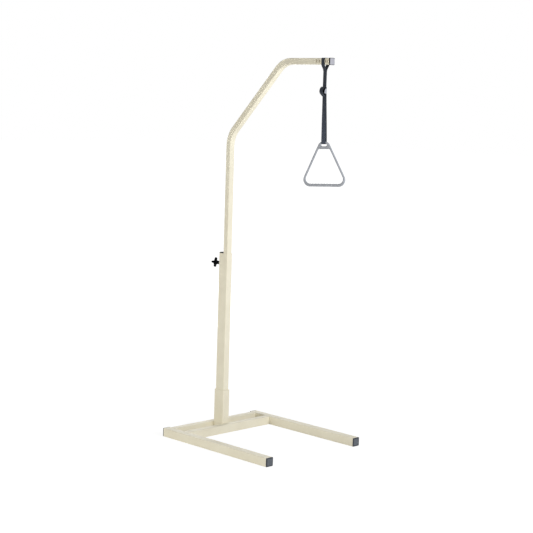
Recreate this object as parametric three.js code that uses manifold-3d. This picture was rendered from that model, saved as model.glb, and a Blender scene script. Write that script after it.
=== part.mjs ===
// Free-standing bed trapeze: a floor frame, a telescopic mast with a bent boom, and a
// triangular grip that hangs from the boom on an adjustable webbing strap.
// Millimetres, +Z up. +X points forward, the way the boom and the legs reach, +Y to the left.
// The origin lies on the floor, under the middle of the whole part.

import * as THREE from 'three';
import { mergeVertices } from 'three/addons/utils/BufferGeometryUtils.js';
import Module from 'manifold-3d';

const wasm = await Module();
wasm.setup();

// Clearances
const seat_gap = 0.3;
const overrun = 6;
const weld_distance = 1e-4;

// Facets
const corner_steps = 2;
const bevel_steps = 3;
const curve_steps = 5;
const washer_steps = 12;
const rod_sides = 20;
const lathe_sides = 24;
const run_steps = 16;

// Floor frame
const footprint_width = 755;
const footprint_length = 860;
const leg_size = 50;
const leg_wall = 2;
const leg_corner = 4;
const rail_depth = 40;
const rail_wall = 2;
const rail_setback = 11.5;

// Leg end caps
const cap_flange = 5.5;
const cap_edge = 1.6;
const cap_plug_depth = 22;
const cap_plug_wall = 2.5;
const cap_panel_depth = 1.2;
const cap_panel_border = 6;
const cap_rib_width = 1.6;
const cap_rib_height = 0.9;
const cap_rib_count = 5;

// Mast socket and the bolt that draws the mast into it
const socket_depth = 80;
const socket_width = 50;
const socket_top = 248;
const socket_corner = 5;
const floor_plate_height = 9;
const floor_plate_thick = 5;
const bolt_diameter = 8;
const bolt_length = 34;
const bolt_head_width = 13;
const bolt_head_height = 5.3;
const washer_diameter = 20;
const washer_thick = 1.6;
const foot_block_thick = 12;

// Outer mast tube
const outer_depth = 70;
const outer_width = 40;
const outer_wall = 2;
const outer_corner = 4;
const outer_top = 1066;

// Upper tube: mast, slope and boom, bent from one length
const upper_size = 35;
const upper_wall = 2;
const upper_corner = 3.5;
const slide_clearance = 0.6;
const insertion = 358;
const overall_height = 2205;
const slope_rise = 433;
const slope_run = 421;
const bend_radius = 145;
const bend_steps = 14;
const boom_reach = 774;

// Guides in the telescope
const guide_length = 98;
const guide_flange = 5.6;
const guide_pocket_depth = 9;
const guide_rib = 2.4;
const glide_height = 26;
const glide_spigot = 30;
const glide_spigot_wall = 3;
const glide_clearance = 0.4;
const glide_chamfer = 1.2;

// Mast clamp: threaded boss, screw, pad and star knob
const clamp_drop = 62;
const boss_diameter = 18;
const boss_length = 12;
const boss_chamfer = 1.5;
const screw_diameter = 8;
const screw_point = 1.2;
const pad_diameter = 16;
const pad_thick = 5;
const knob_distance = 52;
const knob_radius = 28.5;
const knob_thick = 15;
const knob_edge = 4;
const knob_arm_tip = 6.3;
const knob_arm_count = 4;
const knob_arm_wrap_share = 0.9;
const knob_valley_share = 0.24;
const knob_turn = -9;
const knob_neck_radius = 10.5;
const knob_hub_radius = 13;
const knob_screw_depth = 12;
const knob_clear = 6;

// Boom end: strap keepers, measured back from the end, then the collar and the cap
const keeper_setbacks = [92.9, 71.9, 25.2, 14.9];
const keeper_width = 5.6;
const keeper_height = 18;
const keeper_proud = 4.6;
const keeper_edge = 1;
const collar_size = 38.4;
const collar_thick = 7.4;
const collar_edge = 1;
const collar_spigot = 18;
const collar_recess = 2.6;
const end_cap_size = 34.4;
const end_cap_thick = 3.6;
const end_cap_edge = 1.1;

// Webbing, its middle measured back from the boom's end
const strap_setback = 42;
const web_width = 25;
const web_thick = 1.6;
const strap_meet_drop = 33;
const strap_flex_gap = 0.5;
const web_slack = 0.45;
const keeper_slack = 0.3;

// Buckle
const buckle_drop = 141;
const buckle_height = 28;
const buckle_front = 14;
const buckle_back = 2;
const cheek_thick = 2.2;
const cheek_corner = 3;
const cheek_corner_shares = [1, 1, 1, 2, 1.4];
const cheek_slack = 0.8;
const back_plate_thick = 1.5;
const back_plate_height = 18;
const sewn_bar_diameter = 3.2;
const sewn_bar_inset = 2.4;
const sewn_wrap = 252;
const cam_pin_diameter = 4;
const cam_pin_depth = 9;
const cam_pin_height = 6;
const cam_hub_radius = 4.6;
const cam_nose_angle = 12;
const cam_tooth_depth = 0.5;
const cam_tooth_count = 5;
const cam_tooth_spread = 80;
const cam_lever_length = 17;
const cam_lever_thick = 2;
const cam_lever_angle = 108;
const cam_lever_straight_share = 0.7;
const cam_lever_curl_share = 0.9;
const cam_lever_curl = 8;
const spring_wire = 0.9;
const spring_turns = 3;
const spring_space = 4.4;
const spring_steps = 10;
const spring_sides = 6;
const pin_head_thick = 1.2;
const pin_head_diameter = 6;
const pin_head_crown_share = 0.7;

// Webbing tail: how far its loop stands out, above and below the buckle
const tail_reach = 28;
const tail_above = 12;
const tail_below = 16;
const tail_exit_share = 0.6;
const tail_crest_shares = [0.62, 1.25, 0.62];
const tail_return_shares = [0.5, 0.7];
const tail_return_reach_share = 0.44;

// Triangular grip, and how it hangs on the stiff webbing
const grip_turn = 20;
const grip_askew = 2.5;
const grip_forward = 10.4;
const grip_top_drop = 448;
const grip_width = 246;
const grip_height = 247;
const grip_side_angle = 26.3;
const grip_corner_radius = 38;
const grip_depth = 15;
const grip_round_depth = 5.5;
const grip_round_width = 4.2;
const grip_side_thick = 10;
const grip_bar_thick = 16;
const grip_hole_top_corner = 8;
const grip_hole_corner = 33;
const slot_bar_thick = 15;
const slot_width = 34;
const slot_height = 15;
const slot_roof_corner = 4.5;
const slot_floor_corner = 7;
const apex_bar_thick = 12.5;
const wave_count = 10;
const wave_depth = 1.4;
const wave_samples = 5;

// Places worked out from the sizes above
const leg_y = (footprint_width - leg_size) / 2;
const leg_tube_length = footprint_length - 2 * (cap_flange + seat_gap);
const rail_length = footprint_width - 2 * leg_size - 2 * seat_gap;
const rear_rail_x = -footprint_length / 2 + rail_setback + rail_depth / 2;
const mast_x = rear_rail_x + rail_depth / 2 + seat_gap + socket_depth / 2;
const front_rail_x = mast_x + socket_depth / 2 + seat_gap + rail_depth / 2;
const outer_bottom = floor_plate_height + floor_plate_thick + seat_gap;
const cavity_depth = outer_depth - 2 * outer_wall;
const cavity_width = outer_width - 2 * outer_wall;
const upper_half = upper_size / 2;
const upper_x = mast_x + cavity_depth / 2 - slide_clearance - upper_half;
const upper_rear = upper_x - upper_half;
const upper_bottom = outer_top - insertion;
const boom_z = overall_height - upper_half;
const boom_end = upper_x + boom_reach;
const clamp_z = outer_top - clamp_drop;
const outer_rear = mast_x - outer_depth / 2;
const pad_front = upper_rear - seat_gap;
const pad_back = pad_front - pad_thick;
const knob_x = outer_rear - knob_distance;
const strap_x = boom_end - strap_setback;
const boom_under = overall_height - upper_size;
const strap_meet = boom_under - strap_meet_drop;
const buckle_z = boom_under - buckle_drop;
const grip_top = overall_height - grip_top_drop;
const web_half = web_thick / 2;

// Colours, roughness and metalness
const finish = (color, roughness, metalness) =>
  new THREE.MeshStandardMaterial({ color, roughness, metalness });
const cream_paint = finish(0xe3dcc4, 0.45, 0);
const slate_plastic = finish(0x50555f, 0.6, 0);
const black_plastic = finish(0x15161a, 0.35, 0);
const grey_plastic = finish(0x9ea1a6, 0.5, 0);
const pale_plastic = finish(0xc6c5cd, 0.4, 0);
const zinc_steel = finish(0xb9bcc0, 0.35, 1);
const buckle_metal = finish(0xc9ccd2, 0.3, 1);
const black_webbing = finish(0x2c3038, 0.85, 0);

const degrees = (angle) => THREE.MathUtils.degToRad(angle);

// Solid helpers

// A geometry with shared corners and nothing but positions.
function bare(geometry) {
  const copy = geometry.clone();
  copy.deleteAttribute('normal');
  copy.deleteAttribute('uv');
  return mergeVertices(copy, weld_distance);
}

function signedVolume(geometry) {
  const place = geometry.attributes.position;
  const index = geometry.index;
  const corners = [new THREE.Vector3(), new THREE.Vector3(), new THREE.Vector3()];
  let sum = 0;
  for (let i = 0; i < index.count; i += 3) {
    corners.forEach((corner, k) => corner.fromBufferAttribute(place, index.getX(i + k)));
    sum += corners[0].dot(corners[1].clone().cross(corners[2])) / 6;
  }
  return sum;
}

// The same closed skin with its faces pointing out.
function outward(geometry) {
  const skin = bare(geometry);
  if (signedVolume(skin) < 0) {
    const order = Array.from(skin.index.array);
    for (let i = 0; i < order.length; i += 3) {
      [order[i], order[i + 1]] = [order[i + 1], order[i]];
    }
    skin.setIndex(order);
  }
  return skin;
}

function solid(geometry) {
  const skin = outward(geometry);
  return new wasm.Manifold(new wasm.Mesh({
    numProp: 3,
    vertProperties: new Float32Array(skin.attributes.position.array),
    triVerts: new Uint32Array(skin.index.array),
  }));
}

function skinOf(body) {
  const mesh = body.getMesh();
  const geometry = new THREE.BufferGeometry();
  geometry.setAttribute('position', new THREE.BufferAttribute(mesh.vertProperties, 3));
  geometry.setIndex(new THREE.BufferAttribute(mesh.triVerts, 1));
  geometry.computeVertexNormals();
  return geometry;
}

function join(...geometries) {
  return skinOf(geometries.map(solid).reduce((whole, piece) => whole.add(piece)));
}

function cut(geometry, ...tools) {
  return skinOf(tools.map(solid).reduce((whole, tool) => whole.subtract(tool), solid(geometry)));
}

function moved(geometry, x, y, z) {
  return geometry.clone().translate(x, y, z);
}

// Outlines

function roundedRectangle(Kind, width, height, radius) {
  const outline = new Kind();
  const x = width / 2 - radius;
  const y = height / 2 - radius;
  outline.absarc(x, y, radius, 0, Math.PI / 2, false);
  outline.absarc(-x, y, radius, Math.PI / 2, Math.PI, false);
  outline.absarc(-x, -y, radius, Math.PI, 1.5 * Math.PI, false);
  outline.absarc(x, -y, radius, 1.5 * Math.PI, 2 * Math.PI, false);
  outline.closePath();
  return outline;
}

// The arc that rounds the corner at `at` between two straight edges, anticlockwise.
function cornerArc(outline, before, at, after, radius) {
  const back = before.clone().sub(at).normalize();
  const ahead = after.clone().sub(at).normalize();
  const half = Math.acos(back.dot(ahead)) / 2;
  const middle = back.clone().add(ahead).normalize();
  const centre = at.clone().add(middle.multiplyScalar(radius / Math.sin(half)));
  const start = at.clone().add(back.multiplyScalar(radius / Math.tan(half))).sub(centre);
  const end = at.clone().add(ahead.multiplyScalar(radius / Math.tan(half))).sub(centre);
  const turn = start.x * end.y - start.y * end.x;
  outline.absarc(centre.x, centre.y, radius, start.angle(), end.angle(), turn < 0);
}

function roundedPolygon(Kind, corners, radii) {
  const outline = new Kind();
  const points = corners.map(([x, y]) => new THREE.Vector2(x, y));
  points.forEach((at, i) => {
    const before = points[(i + points.length - 1) % points.length];
    const after = points[(i + 1) % points.length];
    cornerArc(outline, before, at, after, radii[i]);
  });
  outline.closePath();
  return outline;
}

function circle(Kind, radius, x = 0, y = 0) {
  const outline = new Kind();
  outline.absarc(x, y, radius, 0, 2 * Math.PI, false);
  return outline;
}

// Extrusions: a drawing (u, v) pulled along one axis and centred on it

function pulled(shape, length, edge = 0, steps = corner_steps, curves = corner_steps) {
  const geometry = new THREE.ExtrudeGeometry(shape, {
    depth: length - 2 * edge,
    curveSegments: curves,
    bevelEnabled: edge > 0,
    bevelThickness: edge,
    bevelSize: edge,
    bevelOffset: -edge,
    bevelSegments: steps,
  });
  return geometry.translate(0, 0, edge - length / 2);
}

const pulled_along_x = new THREE.Matrix4().makeBasis(
  new THREE.Vector3(0, 1, 0),
  new THREE.Vector3(0, 0, 1),
  new THREE.Vector3(1, 0, 0),
);
const pulled_along_y = new THREE.Matrix4().makeBasis(
  new THREE.Vector3(-1, 0, 0),
  new THREE.Vector3(0, 0, 1),
  new THREE.Vector3(0, 1, 0),
);

// u runs along Y and v along Z.
function alongX(shape, length, edge, steps, curves) {
  return pulled(shape, length, edge, steps, curves).applyMatrix4(pulled_along_x);
}

// u runs against X and v along Z.
function alongY(shape, length, edge, steps, curves) {
  return pulled(shape, length, edge, steps, curves).applyMatrix4(pulled_along_y);
}

function block(x, y, z, corner) {
  return pulled(roundedRectangle(THREE.Shape, x, y, corner), z);
}

function tubeSection(width, height, wall, corner) {
  const section = roundedRectangle(THREE.Shape, width, height, corner);
  const bore = roundedRectangle(
    THREE.Path, width - 2 * wall, height - 2 * wall, Math.max(corner - wall, wall / 2),
  );
  section.holes.push(bore);
  return section;
}

function rod(diameter, length) {
  return new THREE.CylinderGeometry(diameter / 2, diameter / 2, length, rod_sides);
}

const rodAlongX = (diameter, length) => rod(diameter, length).rotateZ(Math.PI / 2);
const rodAlongZ = (diameter, length) => rod(diameter, length).rotateX(Math.PI / 2);

// A closed solid from rings of points, each ring joined to the next and both ends capped.
function loft(rings) {
  const count = rings[0].length;
  const corners = rings.flat().flatMap((point) => point.toArray());
  const faces = [];
  for (let i = 0; i + 1 < rings.length; i += 1) {
    for (let k = 0; k < count; k += 1) {
      const a = i * count + k;
      const b = i * count + (k + 1) % count;
      faces.push(a, b, b + count, a, b + count, a + count);
    }
  }
  const last = (rings.length - 1) * count;
  for (let k = 1; k + 1 < count; k += 1) {
    faces.push(0, k + 1, k);
    faces.push(last, last + k, last + k + 1);
  }
  const geometry = new THREE.BufferGeometry();
  geometry.setAttribute('position', new THREE.Float32BufferAttribute(corners, 3));
  geometry.setIndex(faces);
  return geometry;
}

// A path that passes its stations one by one, so that a bend gets many and a straight none.
class StationPath extends THREE.Curve {
  constructor(stations) {
    super();
    this.stations = stations;
  }

  between(share, read) {
    const place = share * (this.stations.length - 1);
    const first = Math.min(Math.floor(place), this.stations.length - 2);
    return read(first).clone().lerp(read(first + 1), place - first);
  }

  getPoint(share) {
    return this.between(share, (i) => this.stations[i].at);
  }

  getPointAt(share) {
    return this.getPoint(share);
  }

  getTangentAt(share) {
    return this.between(share, (i) => this.stations[i].way).normalize();
  }
}

// Stations along corners joined by bends of one radius, in the XZ plane.
function bentStations(corners, radius, steps) {
  const stations = [];
  const points = corners.map(([x, z]) => new THREE.Vector3(x, 0, z));
  const way = (i) => points[i + 1].clone().sub(points[i]).normalize();
  stations.push({ at: points[0], way: way(0) });
  for (let i = 1; i + 1 < points.length; i += 1) {
    const turn = way(i - 1).angleTo(way(i));
    const set_back = radius * Math.tan(turn / 2);
    const start = points[i].clone().addScaledVector(way(i - 1), -set_back);
    const inward = way(i).sub(way(i - 1).multiplyScalar(Math.cos(turn))).normalize();
    for (let k = 0; k <= steps; k += 1) {
      const angle = turn * k / steps;
      const at = start.clone()
        .addScaledVector(way(i - 1), radius * Math.sin(angle))
        .addScaledVector(inward, radius * (1 - Math.cos(angle)));
      const ahead = way(i - 1).multiplyScalar(Math.cos(angle))
        .addScaledVector(inward, Math.sin(angle));
      stations.push({ at, way: ahead });
    }
  }
  const last = points.length - 1;
  stations.push({ at: points[last], way: way(last - 1) });
  return stations;
}

// A flat tape that follows a drawn line in the YZ plane; its width lies along X.
function tape(line, thick, width, divisions = 8) {
  const points = line.getPoints(divisions).filter((point, i, all) =>
    i === 0 || point.distanceTo(all[i - 1]) > thick / 50);
  const sides = points.map((point, i) => {
    const before = points[Math.max(i - 1, 0)];
    const after = points[Math.min(i + 1, points.length - 1)];
    const into = point.clone().sub(before).normalize();
    const out = after.clone().sub(point).normalize();
    const way = into.add(out).normalize();
    const lean = i > 0 && i + 1 < points.length ? way.dot(out) : 1;
    return new THREE.Vector2(-way.y, way.x).multiplyScalar(thick / 2 / lean);
  });
  const left = points.map((point, i) => point.clone().add(sides[i]));
  const right = points.map((point, i) => point.clone().sub(sides[i]));
  return alongX(new THREE.Shape([...left, ...right.reverse()]), width);
}

const trapeze = new THREE.Group();

function add(group, name, geometry, material, x = 0, y = 0, z = 0) {
  const mesh = new THREE.Mesh(outward(geometry), material);
  mesh.name = name;
  mesh.position.set(x, y, z);
  group.add(mesh);
  return mesh;
}

// Floor frame: two legs, two cross rails and four end caps

const leg_section = tubeSection(leg_size, leg_size, leg_wall, leg_corner);
const leg_z = leg_size / 2;

function leg() {
  return alongX(leg_section, leg_tube_length);
}

function rail() {
  return alongY(tubeSection(rail_depth, leg_size, rail_wall, leg_corner), rail_length);
}

// A push-in cap whose face, at +X, has a sunk panel with fine ribs.
function legCap() {
  const flange = alongX(
    roundedRectangle(THREE.Shape, leg_size, leg_size, leg_corner), cap_flange, cap_edge,
  );
  const panel_size = leg_size - 2 * cap_panel_border;
  const panel = moved(
    alongX(roundedRectangle(THREE.Shape, panel_size, panel_size, leg_corner), cap_panel_depth * 2),
    cap_flange / 2, 0, 0,
  );
  const plug_size = leg_size - 2 * leg_wall - 2 * seat_gap;
  const plug_corner = Math.max(leg_corner - leg_wall - seat_gap, seat_gap);
  const plug = moved(
    alongX(tubeSection(plug_size, plug_size, cap_plug_wall, plug_corner), cap_plug_depth),
    (cap_edge - cap_flange) / 2 - cap_plug_depth / 2, 0, 0,
  );
  const face = cut(flange, panel);
  const pitch = panel_size / (cap_rib_count + 1);
  const panel_floor = cap_flange / 2 - cap_panel_depth;
  const ribs = Array.from({ length: cap_rib_count }, (_, i) => {
    const rib = new THREE.Shape([[1, 1], [-1, 1], [-1, -1], [1, -1]].map(([across, up]) =>
      new THREE.Vector2(across * cap_rib_width / 2, up * panel_size / 2)));
    const y = (i + 1) * pitch - panel_size / 2;
    return moved(alongX(rib, 2 * cap_rib_height), panel_floor, y, 0);
  });
  return join(face, plug, ...ribs);
}

const floor_frame = new THREE.Group();
trapeze.add(floor_frame);
const cap_x = (footprint_length - cap_flange) / 2;
const sides = [['left', 1], ['right', -1]];
for (const [side, way] of sides) {
  add(floor_frame, `${side}_leg`, leg(), cream_paint, 0, way * leg_y, leg_z);
  add(floor_frame, `front_${side}_cap`, legCap(), slate_plastic, cap_x, way * leg_y, leg_z);
  const rear_cap = legCap().rotateZ(Math.PI);
  add(floor_frame, `rear_${side}_cap`, rear_cap, slate_plastic, -cap_x, way * leg_y, leg_z);
}
add(floor_frame, 'rear_rail', rail(), cream_paint, rear_rail_x, 0, leg_z);
add(floor_frame, 'front_rail', rail(), cream_paint, front_rail_x, 0, leg_z);

// Mast socket with its floor plate, and the bolt that pulls the mast down on it

const mast_seat = new THREE.Group();
mast_seat.position.x = mast_x;
trapeze.add(mast_seat);

const socket_wall = (socket_depth - outer_depth) / 2 - seat_gap;
const socket_section = tubeSection(socket_depth, socket_width, socket_wall, socket_corner);
add(mast_seat, 'mast_socket', pulled(socket_section, socket_top), cream_paint, 0, 0, socket_top / 2);

const bolt_hole = bolt_diameter + 2 * seat_gap;
const inner_corner = Math.max(outer_corner - outer_wall, seat_gap);
const plate = block(
  outer_depth, outer_width, floor_plate_thick, outer_corner,
);
const plate_z = floor_plate_height + floor_plate_thick / 2;
add(
  mast_seat, 'socket_floor_plate',
  cut(plate, rodAlongZ(bolt_hole, floor_plate_thick + overrun)), cream_paint, 0, 0, plate_z,
);

const foot_block = block(
  cavity_depth - 2 * seat_gap, cavity_width - 2 * seat_gap, foot_block_thick, inner_corner,
);
add(
  mast_seat, 'mast_foot_block',
  cut(foot_block, rodAlongZ(bolt_hole, foot_block_thick + overrun)),
  zinc_steel, 0, 0, outer_bottom + foot_block_thick / 2,
);

const washer = new THREE.Shape();
washer.absarc(0, 0, washer_diameter / 2, 0, 2 * Math.PI, false);
washer.holes.push(circle(THREE.Path, bolt_hole / 2));
const washer_top = floor_plate_height - seat_gap;
add(
  mast_seat, 'mast_bolt_washer', pulled(washer, washer_thick, 0, 1, washer_steps), zinc_steel,
  0, 0, washer_top - washer_thick / 2,
);

function hexBolt() {
  const head = new THREE.CylinderGeometry(
    bolt_head_width / Math.sqrt(3), bolt_head_width / Math.sqrt(3), bolt_head_height, 6,
  ).rotateX(Math.PI / 2);
  const shank = moved(rodAlongZ(bolt_diameter, bolt_length), 0, 0, bolt_length / 2);
  return join(head, shank);
}
const bolt_z = washer_top - washer_thick - seat_gap - bolt_head_height / 2;
add(mast_seat, 'mast_bolt', hexBolt(), zinc_steel, 0, 0, bolt_z);

// Outer mast tube, with the hole for the clamp screw in its rear wall

const outer_length = outer_top - outer_bottom;
const outer_tube = pulled(tubeSection(outer_depth, outer_width, outer_wall, outer_corner), outer_length);
const screw_hole = screw_diameter + 2 * seat_gap;
const rear_hole = moved(
  rodAlongX(screw_hole, outer_wall + 2 * overrun), -outer_depth / 2, 0,
  clamp_z - outer_bottom - outer_length / 2,
);
add(
  mast_seat, 'outer_tube', cut(outer_tube, rear_hole), cream_paint,
  0, 0, outer_bottom + outer_length / 2,
);

// Guide insert: fills the outer tube behind the upper tube and caps its open top

function guideInsert() {
  const back = -cavity_depth / 2 + seat_gap;
  const front = upper_rear - mast_x - seat_gap;
  const depth = front - back;
  const width = cavity_width - 2 * seat_gap;
  const body_length = guide_length + guide_flange - seat_gap;
  const body = moved(
    block(depth, width, body_length, inner_corner),
    (front + back) / 2, 0, guide_flange - body_length / 2,
  );
  const lip_depth = front + outer_depth / 2;
  const lip = moved(
    pulled(
      roundedRectangle(THREE.Shape, lip_depth, outer_width, outer_corner),
      guide_flange - seat_gap, guide_flange / 4,
    ),
    front - lip_depth / 2, 0, (guide_flange + seat_gap) / 2,
  );
  const screw_way = moved(rodAlongX(screw_hole, depth + 2 * overrun), (front + back) / 2, 0, -clamp_drop);
  const pad_room = moved(
    rodAlongX(pad_diameter + 2 * slide_clearance, 2 * guide_pocket_depth),
    front, 0, -clamp_drop,
  );
  const pocket_width = width / 2 - 1.5 * guide_rib;
  const pocket_height = guide_length - clamp_drop - pad_diameter;
  const pockets = [1, -1].map((way) => moved(
    block(depth - 2 * guide_rib, pocket_width, pocket_height, guide_rib / 2),
    (front + back) / 2, way * (pocket_width + guide_rib) / 2, -guide_length + pocket_height / 2 - overrun,
  ));
  return cut(join(body, lip), screw_way, pad_room, ...pockets);
}
add(mast_seat, 'top_guide_insert', guideInsert(), black_plastic, 0, 0, outer_top);

// Mast clamp

const clamp = new THREE.Group();
clamp.position.z = clamp_z;
trapeze.add(clamp);

const turnedAlongX = (outline) => {
  const points = outline.map(([x, radius]) => new THREE.Vector2(radius, x));
  return new THREE.LatheGeometry(points, lathe_sides).rotateZ(-Math.PI / 2);
};

const boss_radius = boss_diameter / 2;
const boss_bore = screw_hole / 2;
add(clamp, 'clamp_boss', turnedAlongX([
  [0, boss_bore],
  [boss_length, boss_bore],
  [boss_length, boss_radius],
  [boss_chamfer, boss_radius],
  [0, boss_radius - boss_chamfer],
  [0, boss_bore],
]), cream_paint, outer_rear - seat_gap - boss_length);

const screw_start = knob_x + knob_thick / 2 - knob_screw_depth;
const screw_length = pad_back - seat_gap - screw_start;
const screw_radius = screw_diameter / 2;
add(clamp, 'clamp_screw', turnedAlongX([
  [0, 0],
  [0, screw_radius - screw_point],
  [screw_point, screw_radius],
  [screw_length - screw_point, screw_radius],
  [screw_length, screw_radius - screw_point],
  [screw_length, 0],
]), zinc_steel, screw_start);

const pad_radius = pad_diameter / 2;
add(clamp, 'pressure_pad', turnedAlongX([
  [0, 0],
  [0, pad_radius - screw_point],
  [screw_point, pad_radius],
  [pad_thick, pad_radius],
  [pad_thick, 0],
]), black_plastic, pad_back);

// A star of tapered arms with hollow flanks, round a hub that narrows to a neck.
function starKnob() {
  const star = new THREE.Shape();
  const arm = 2 * Math.PI / knob_arm_count;
  const wrap = arm * knob_arm_wrap_share;
  const tip_centre = knob_radius - knob_arm_tip;
  for (let i = 0; i < knob_arm_count; i += 1) {
    const way = i * arm;
    const x = tip_centre * Math.cos(way);
    const y = tip_centre * Math.sin(way);
    star.absarc(x, y, knob_arm_tip, way - wrap, way + wrap, false);
    const valley = way + arm / 2;
    const next = way + arm;
    const depth = knob_radius * knob_valley_share;
    star.quadraticCurveTo(
      depth * Math.cos(valley),
      depth * Math.sin(valley),
      tip_centre * Math.cos(next) + knob_arm_tip * Math.cos(next - wrap),
      tip_centre * Math.sin(next) + knob_arm_tip * Math.sin(next - wrap),
    );
  }
  const arms = alongX(star, knob_thick, knob_edge, bevel_steps, curve_steps)
    .rotateX(degrees(knob_turn));
  const front = knob_thick / 2;
  const neck_end = knob_distance - boss_length - 3 * seat_gap - knob_clear;
  const hub = turnedAlongX([
    [-front, 0],
    [-front, knob_neck_radius],
    [-front / 2, knob_hub_radius],
    [front, knob_hub_radius],
    [(front + neck_end) / 2, knob_neck_radius],
    [neck_end, knob_neck_radius],
    [neck_end, 0],
  ]);
  const socket_length = neck_end + overrun - (front - knob_screw_depth - seat_gap);
  const socket = moved(
    rodAlongX(screw_hole, socket_length), neck_end + overrun - socket_length / 2, 0, 0,
  );
  return cut(join(arms, hub), socket);
}
add(clamp, 'star_knob', starKnob(), black_plastic, knob_x);

// Upper tube: up the mast, along the slope and out along the boom

const mast_line = [upper_x, upper_bottom];
const lower_knee = [upper_x, boom_z - slope_rise];
const upper_knee = [upper_x + slope_run, boom_z];
const boom_tip = [boom_end, boom_z];

function upperTube() {
  const stations = bentStations([mast_line, lower_knee, upper_knee, boom_tip], bend_radius, bend_steps);
  const section = tubeSection(upper_size, upper_size, upper_wall, upper_corner);
  const pipe = new THREE.ExtrudeGeometry(section, {
    steps: stations.length - 1,
    curveSegments: corner_steps,
    extrudePath: new StationPath(stations),
  });
  const sunk = upper_wall / 2;
  const keeper = pulled(
    roundedRectangle(THREE.Shape, keeper_width, keeper_height, keeper_width / 2 - seat_gap),
    keeper_proud + sunk, keeper_edge, corner_steps, bevel_steps,
  ).rotateX(Math.PI / 2);
  const keeper_y = upper_half + (keeper_proud - sunk) / 2;
  const keepers = keeper_setbacks.flatMap((setback) => [1, -1].map((way) =>
    moved(keeper, boom_end - setback, way * keeper_y, boom_z)));
  return join(pipe, ...keepers);
}

const upper = new THREE.Group();
trapeze.add(upper);
add(upper, 'upper_tube', upperTube(), cream_paint);

// Glide at the upper tube's lower end: a shoe as wide as the outer tube's cavity
function glide() {
  const shoe = pulled(
    roundedRectangle(
      THREE.Shape, cavity_depth - 2 * glide_clearance, cavity_width - 2 * glide_clearance, inner_corner,
    ),
    glide_height, glide_chamfer, 1,
  );
  const spigot_size = upper_size - 2 * upper_wall - 2 * seat_gap;
  const spigot_corner = Math.max(upper_corner - upper_wall - seat_gap, seat_gap);
  const spigot = moved(
    pulled(
      tubeSection(spigot_size, spigot_size, glide_spigot_wall, spigot_corner), glide_spigot + overrun,
    ),
    upper_x - mast_x, 0, (glide_height + glide_spigot - overrun) / 2,
  );
  return join(shoe, spigot);
}
add(upper, 'glide_shoe', glide(), black_plastic, mast_x, 0, upper_bottom - seat_gap - glide_height / 2);

// Boom end: a collar that plugs the tube, and the cap set in it
function boomCollar() {
  const flange = moved(
    alongX(roundedRectangle(THREE.Shape, collar_size, collar_size, upper_corner), collar_thick, collar_edge, 2),
    collar_thick / 2, 0, 0,
  );
  const spigot_size = upper_size - 2 * upper_wall - 2 * seat_gap;
  const spigot_corner = Math.max(upper_corner - upper_wall - seat_gap, seat_gap);
  const spigot = moved(
    alongX(tubeSection(spigot_size, spigot_size, glide_spigot_wall, spigot_corner), collar_spigot + collar_edge),
    (collar_edge - collar_spigot) / 2, 0, 0,
  );
  const recess_size = end_cap_size + 2 * seat_gap;
  const recess = moved(
    alongX(roundedRectangle(THREE.Shape, recess_size, recess_size, upper_corner), 2 * collar_recess),
    collar_thick, 0, 0,
  );
  return cut(join(flange, spigot), recess);
}
const collar_x = boom_end + seat_gap;
add(upper, 'boom_end_collar', boomCollar(), black_plastic, collar_x, 0, boom_z);

const end_cap = alongX(
  roundedRectangle(THREE.Shape, end_cap_size, end_cap_size, upper_corner), end_cap_thick, end_cap_edge, 2,
);
add(
  upper, 'boom_end_cap', end_cap, pale_plastic,
  collar_x + collar_thick - collar_recess + seat_gap + end_cap_thick / 2, 0, boom_z,
);

// Webbing over the boom: both ends run in under the tube to the point where they meet

const strap = new THREE.Group();
strap.position.x = strap_x;
trapeze.add(strap);

const layer_y = web_half;

function strapOverBoom() {
  const side = upper_half + seat_gap + keeper_slack + web_half;
  const top = overall_height + seat_gap + web_half;
  const bend = upper_corner + web_half;
  const end = strap_meet + web_thick + strap_flex_gap;
  const line = new THREE.Path();
  line.moveTo(-layer_y - seat_gap / 2, end);
  line.quadraticCurveTo(
    -layer_y - seat_gap / 2, end + web_thick, -(side + layer_y) / 2, (end + boom_under) / 2,
  );
  line.quadraticCurveTo(-side, boom_under - bend, -side, boom_under + bend);
  line.lineTo(-side, top - bend);
  line.absarc(-side + bend, top - bend, bend, Math.PI, Math.PI / 2, true);
  line.lineTo(side - bend, top);
  line.absarc(side - bend, top - bend, bend, Math.PI / 2, 0, true);
  line.lineTo(side, boom_under + bend);
  line.quadraticCurveTo(side, boom_under - bend, (side + layer_y) / 2, (end + boom_under) / 2);
  line.quadraticCurveTo(
    layer_y + seat_gap / 2, end + web_thick, layer_y + seat_gap / 2, end,
  );
  return tape(line, web_thick, web_width, 6);
}
add(strap, 'strap_over_boom', strapOverBoom(), black_webbing);

// Buckle: two cheeks, a back plate and the bar that holds the sewn end

const half_height = buckle_height / 2;
const bar_z = buckle_z + half_height - sewn_bar_inset;
const bar_y = -web_half;
const sewn_inner = sewn_bar_diameter / 2 + seat_gap;
const sewn_outer = sewn_inner + web_thick;
const plate_front = buckle_back - back_plate_thick;
const throat_y = plate_front - seat_gap - web_half;
const rear_run_y = Math.max(buckle_back, bar_y + sewn_outer) + seat_gap + web_half;
const run_top = buckle_z - half_height - seat_gap;
const cheek_x = web_width / 2 + cheek_slack + cheek_thick / 2;
const pin_y = -cam_pin_depth;
const cam_nose_radius = throat_y - web_half - seat_gap - pin_y;
const pin_z = buckle_z - half_height + cam_pin_height;

function cheek() {
  const outline = roundedPolygon(THREE.Shape, [
    [buckle_back, -half_height],
    [buckle_back, half_height],
    [bar_y - sewn_outer, half_height],
    [-buckle_front, half_height / 3],
    [-buckle_front, -half_height],
  ], cheek_corner_shares.map((share) => share * cheek_corner));
  return alongX(outline, cheek_thick, cheek_thick / 4, 1);
}

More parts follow.
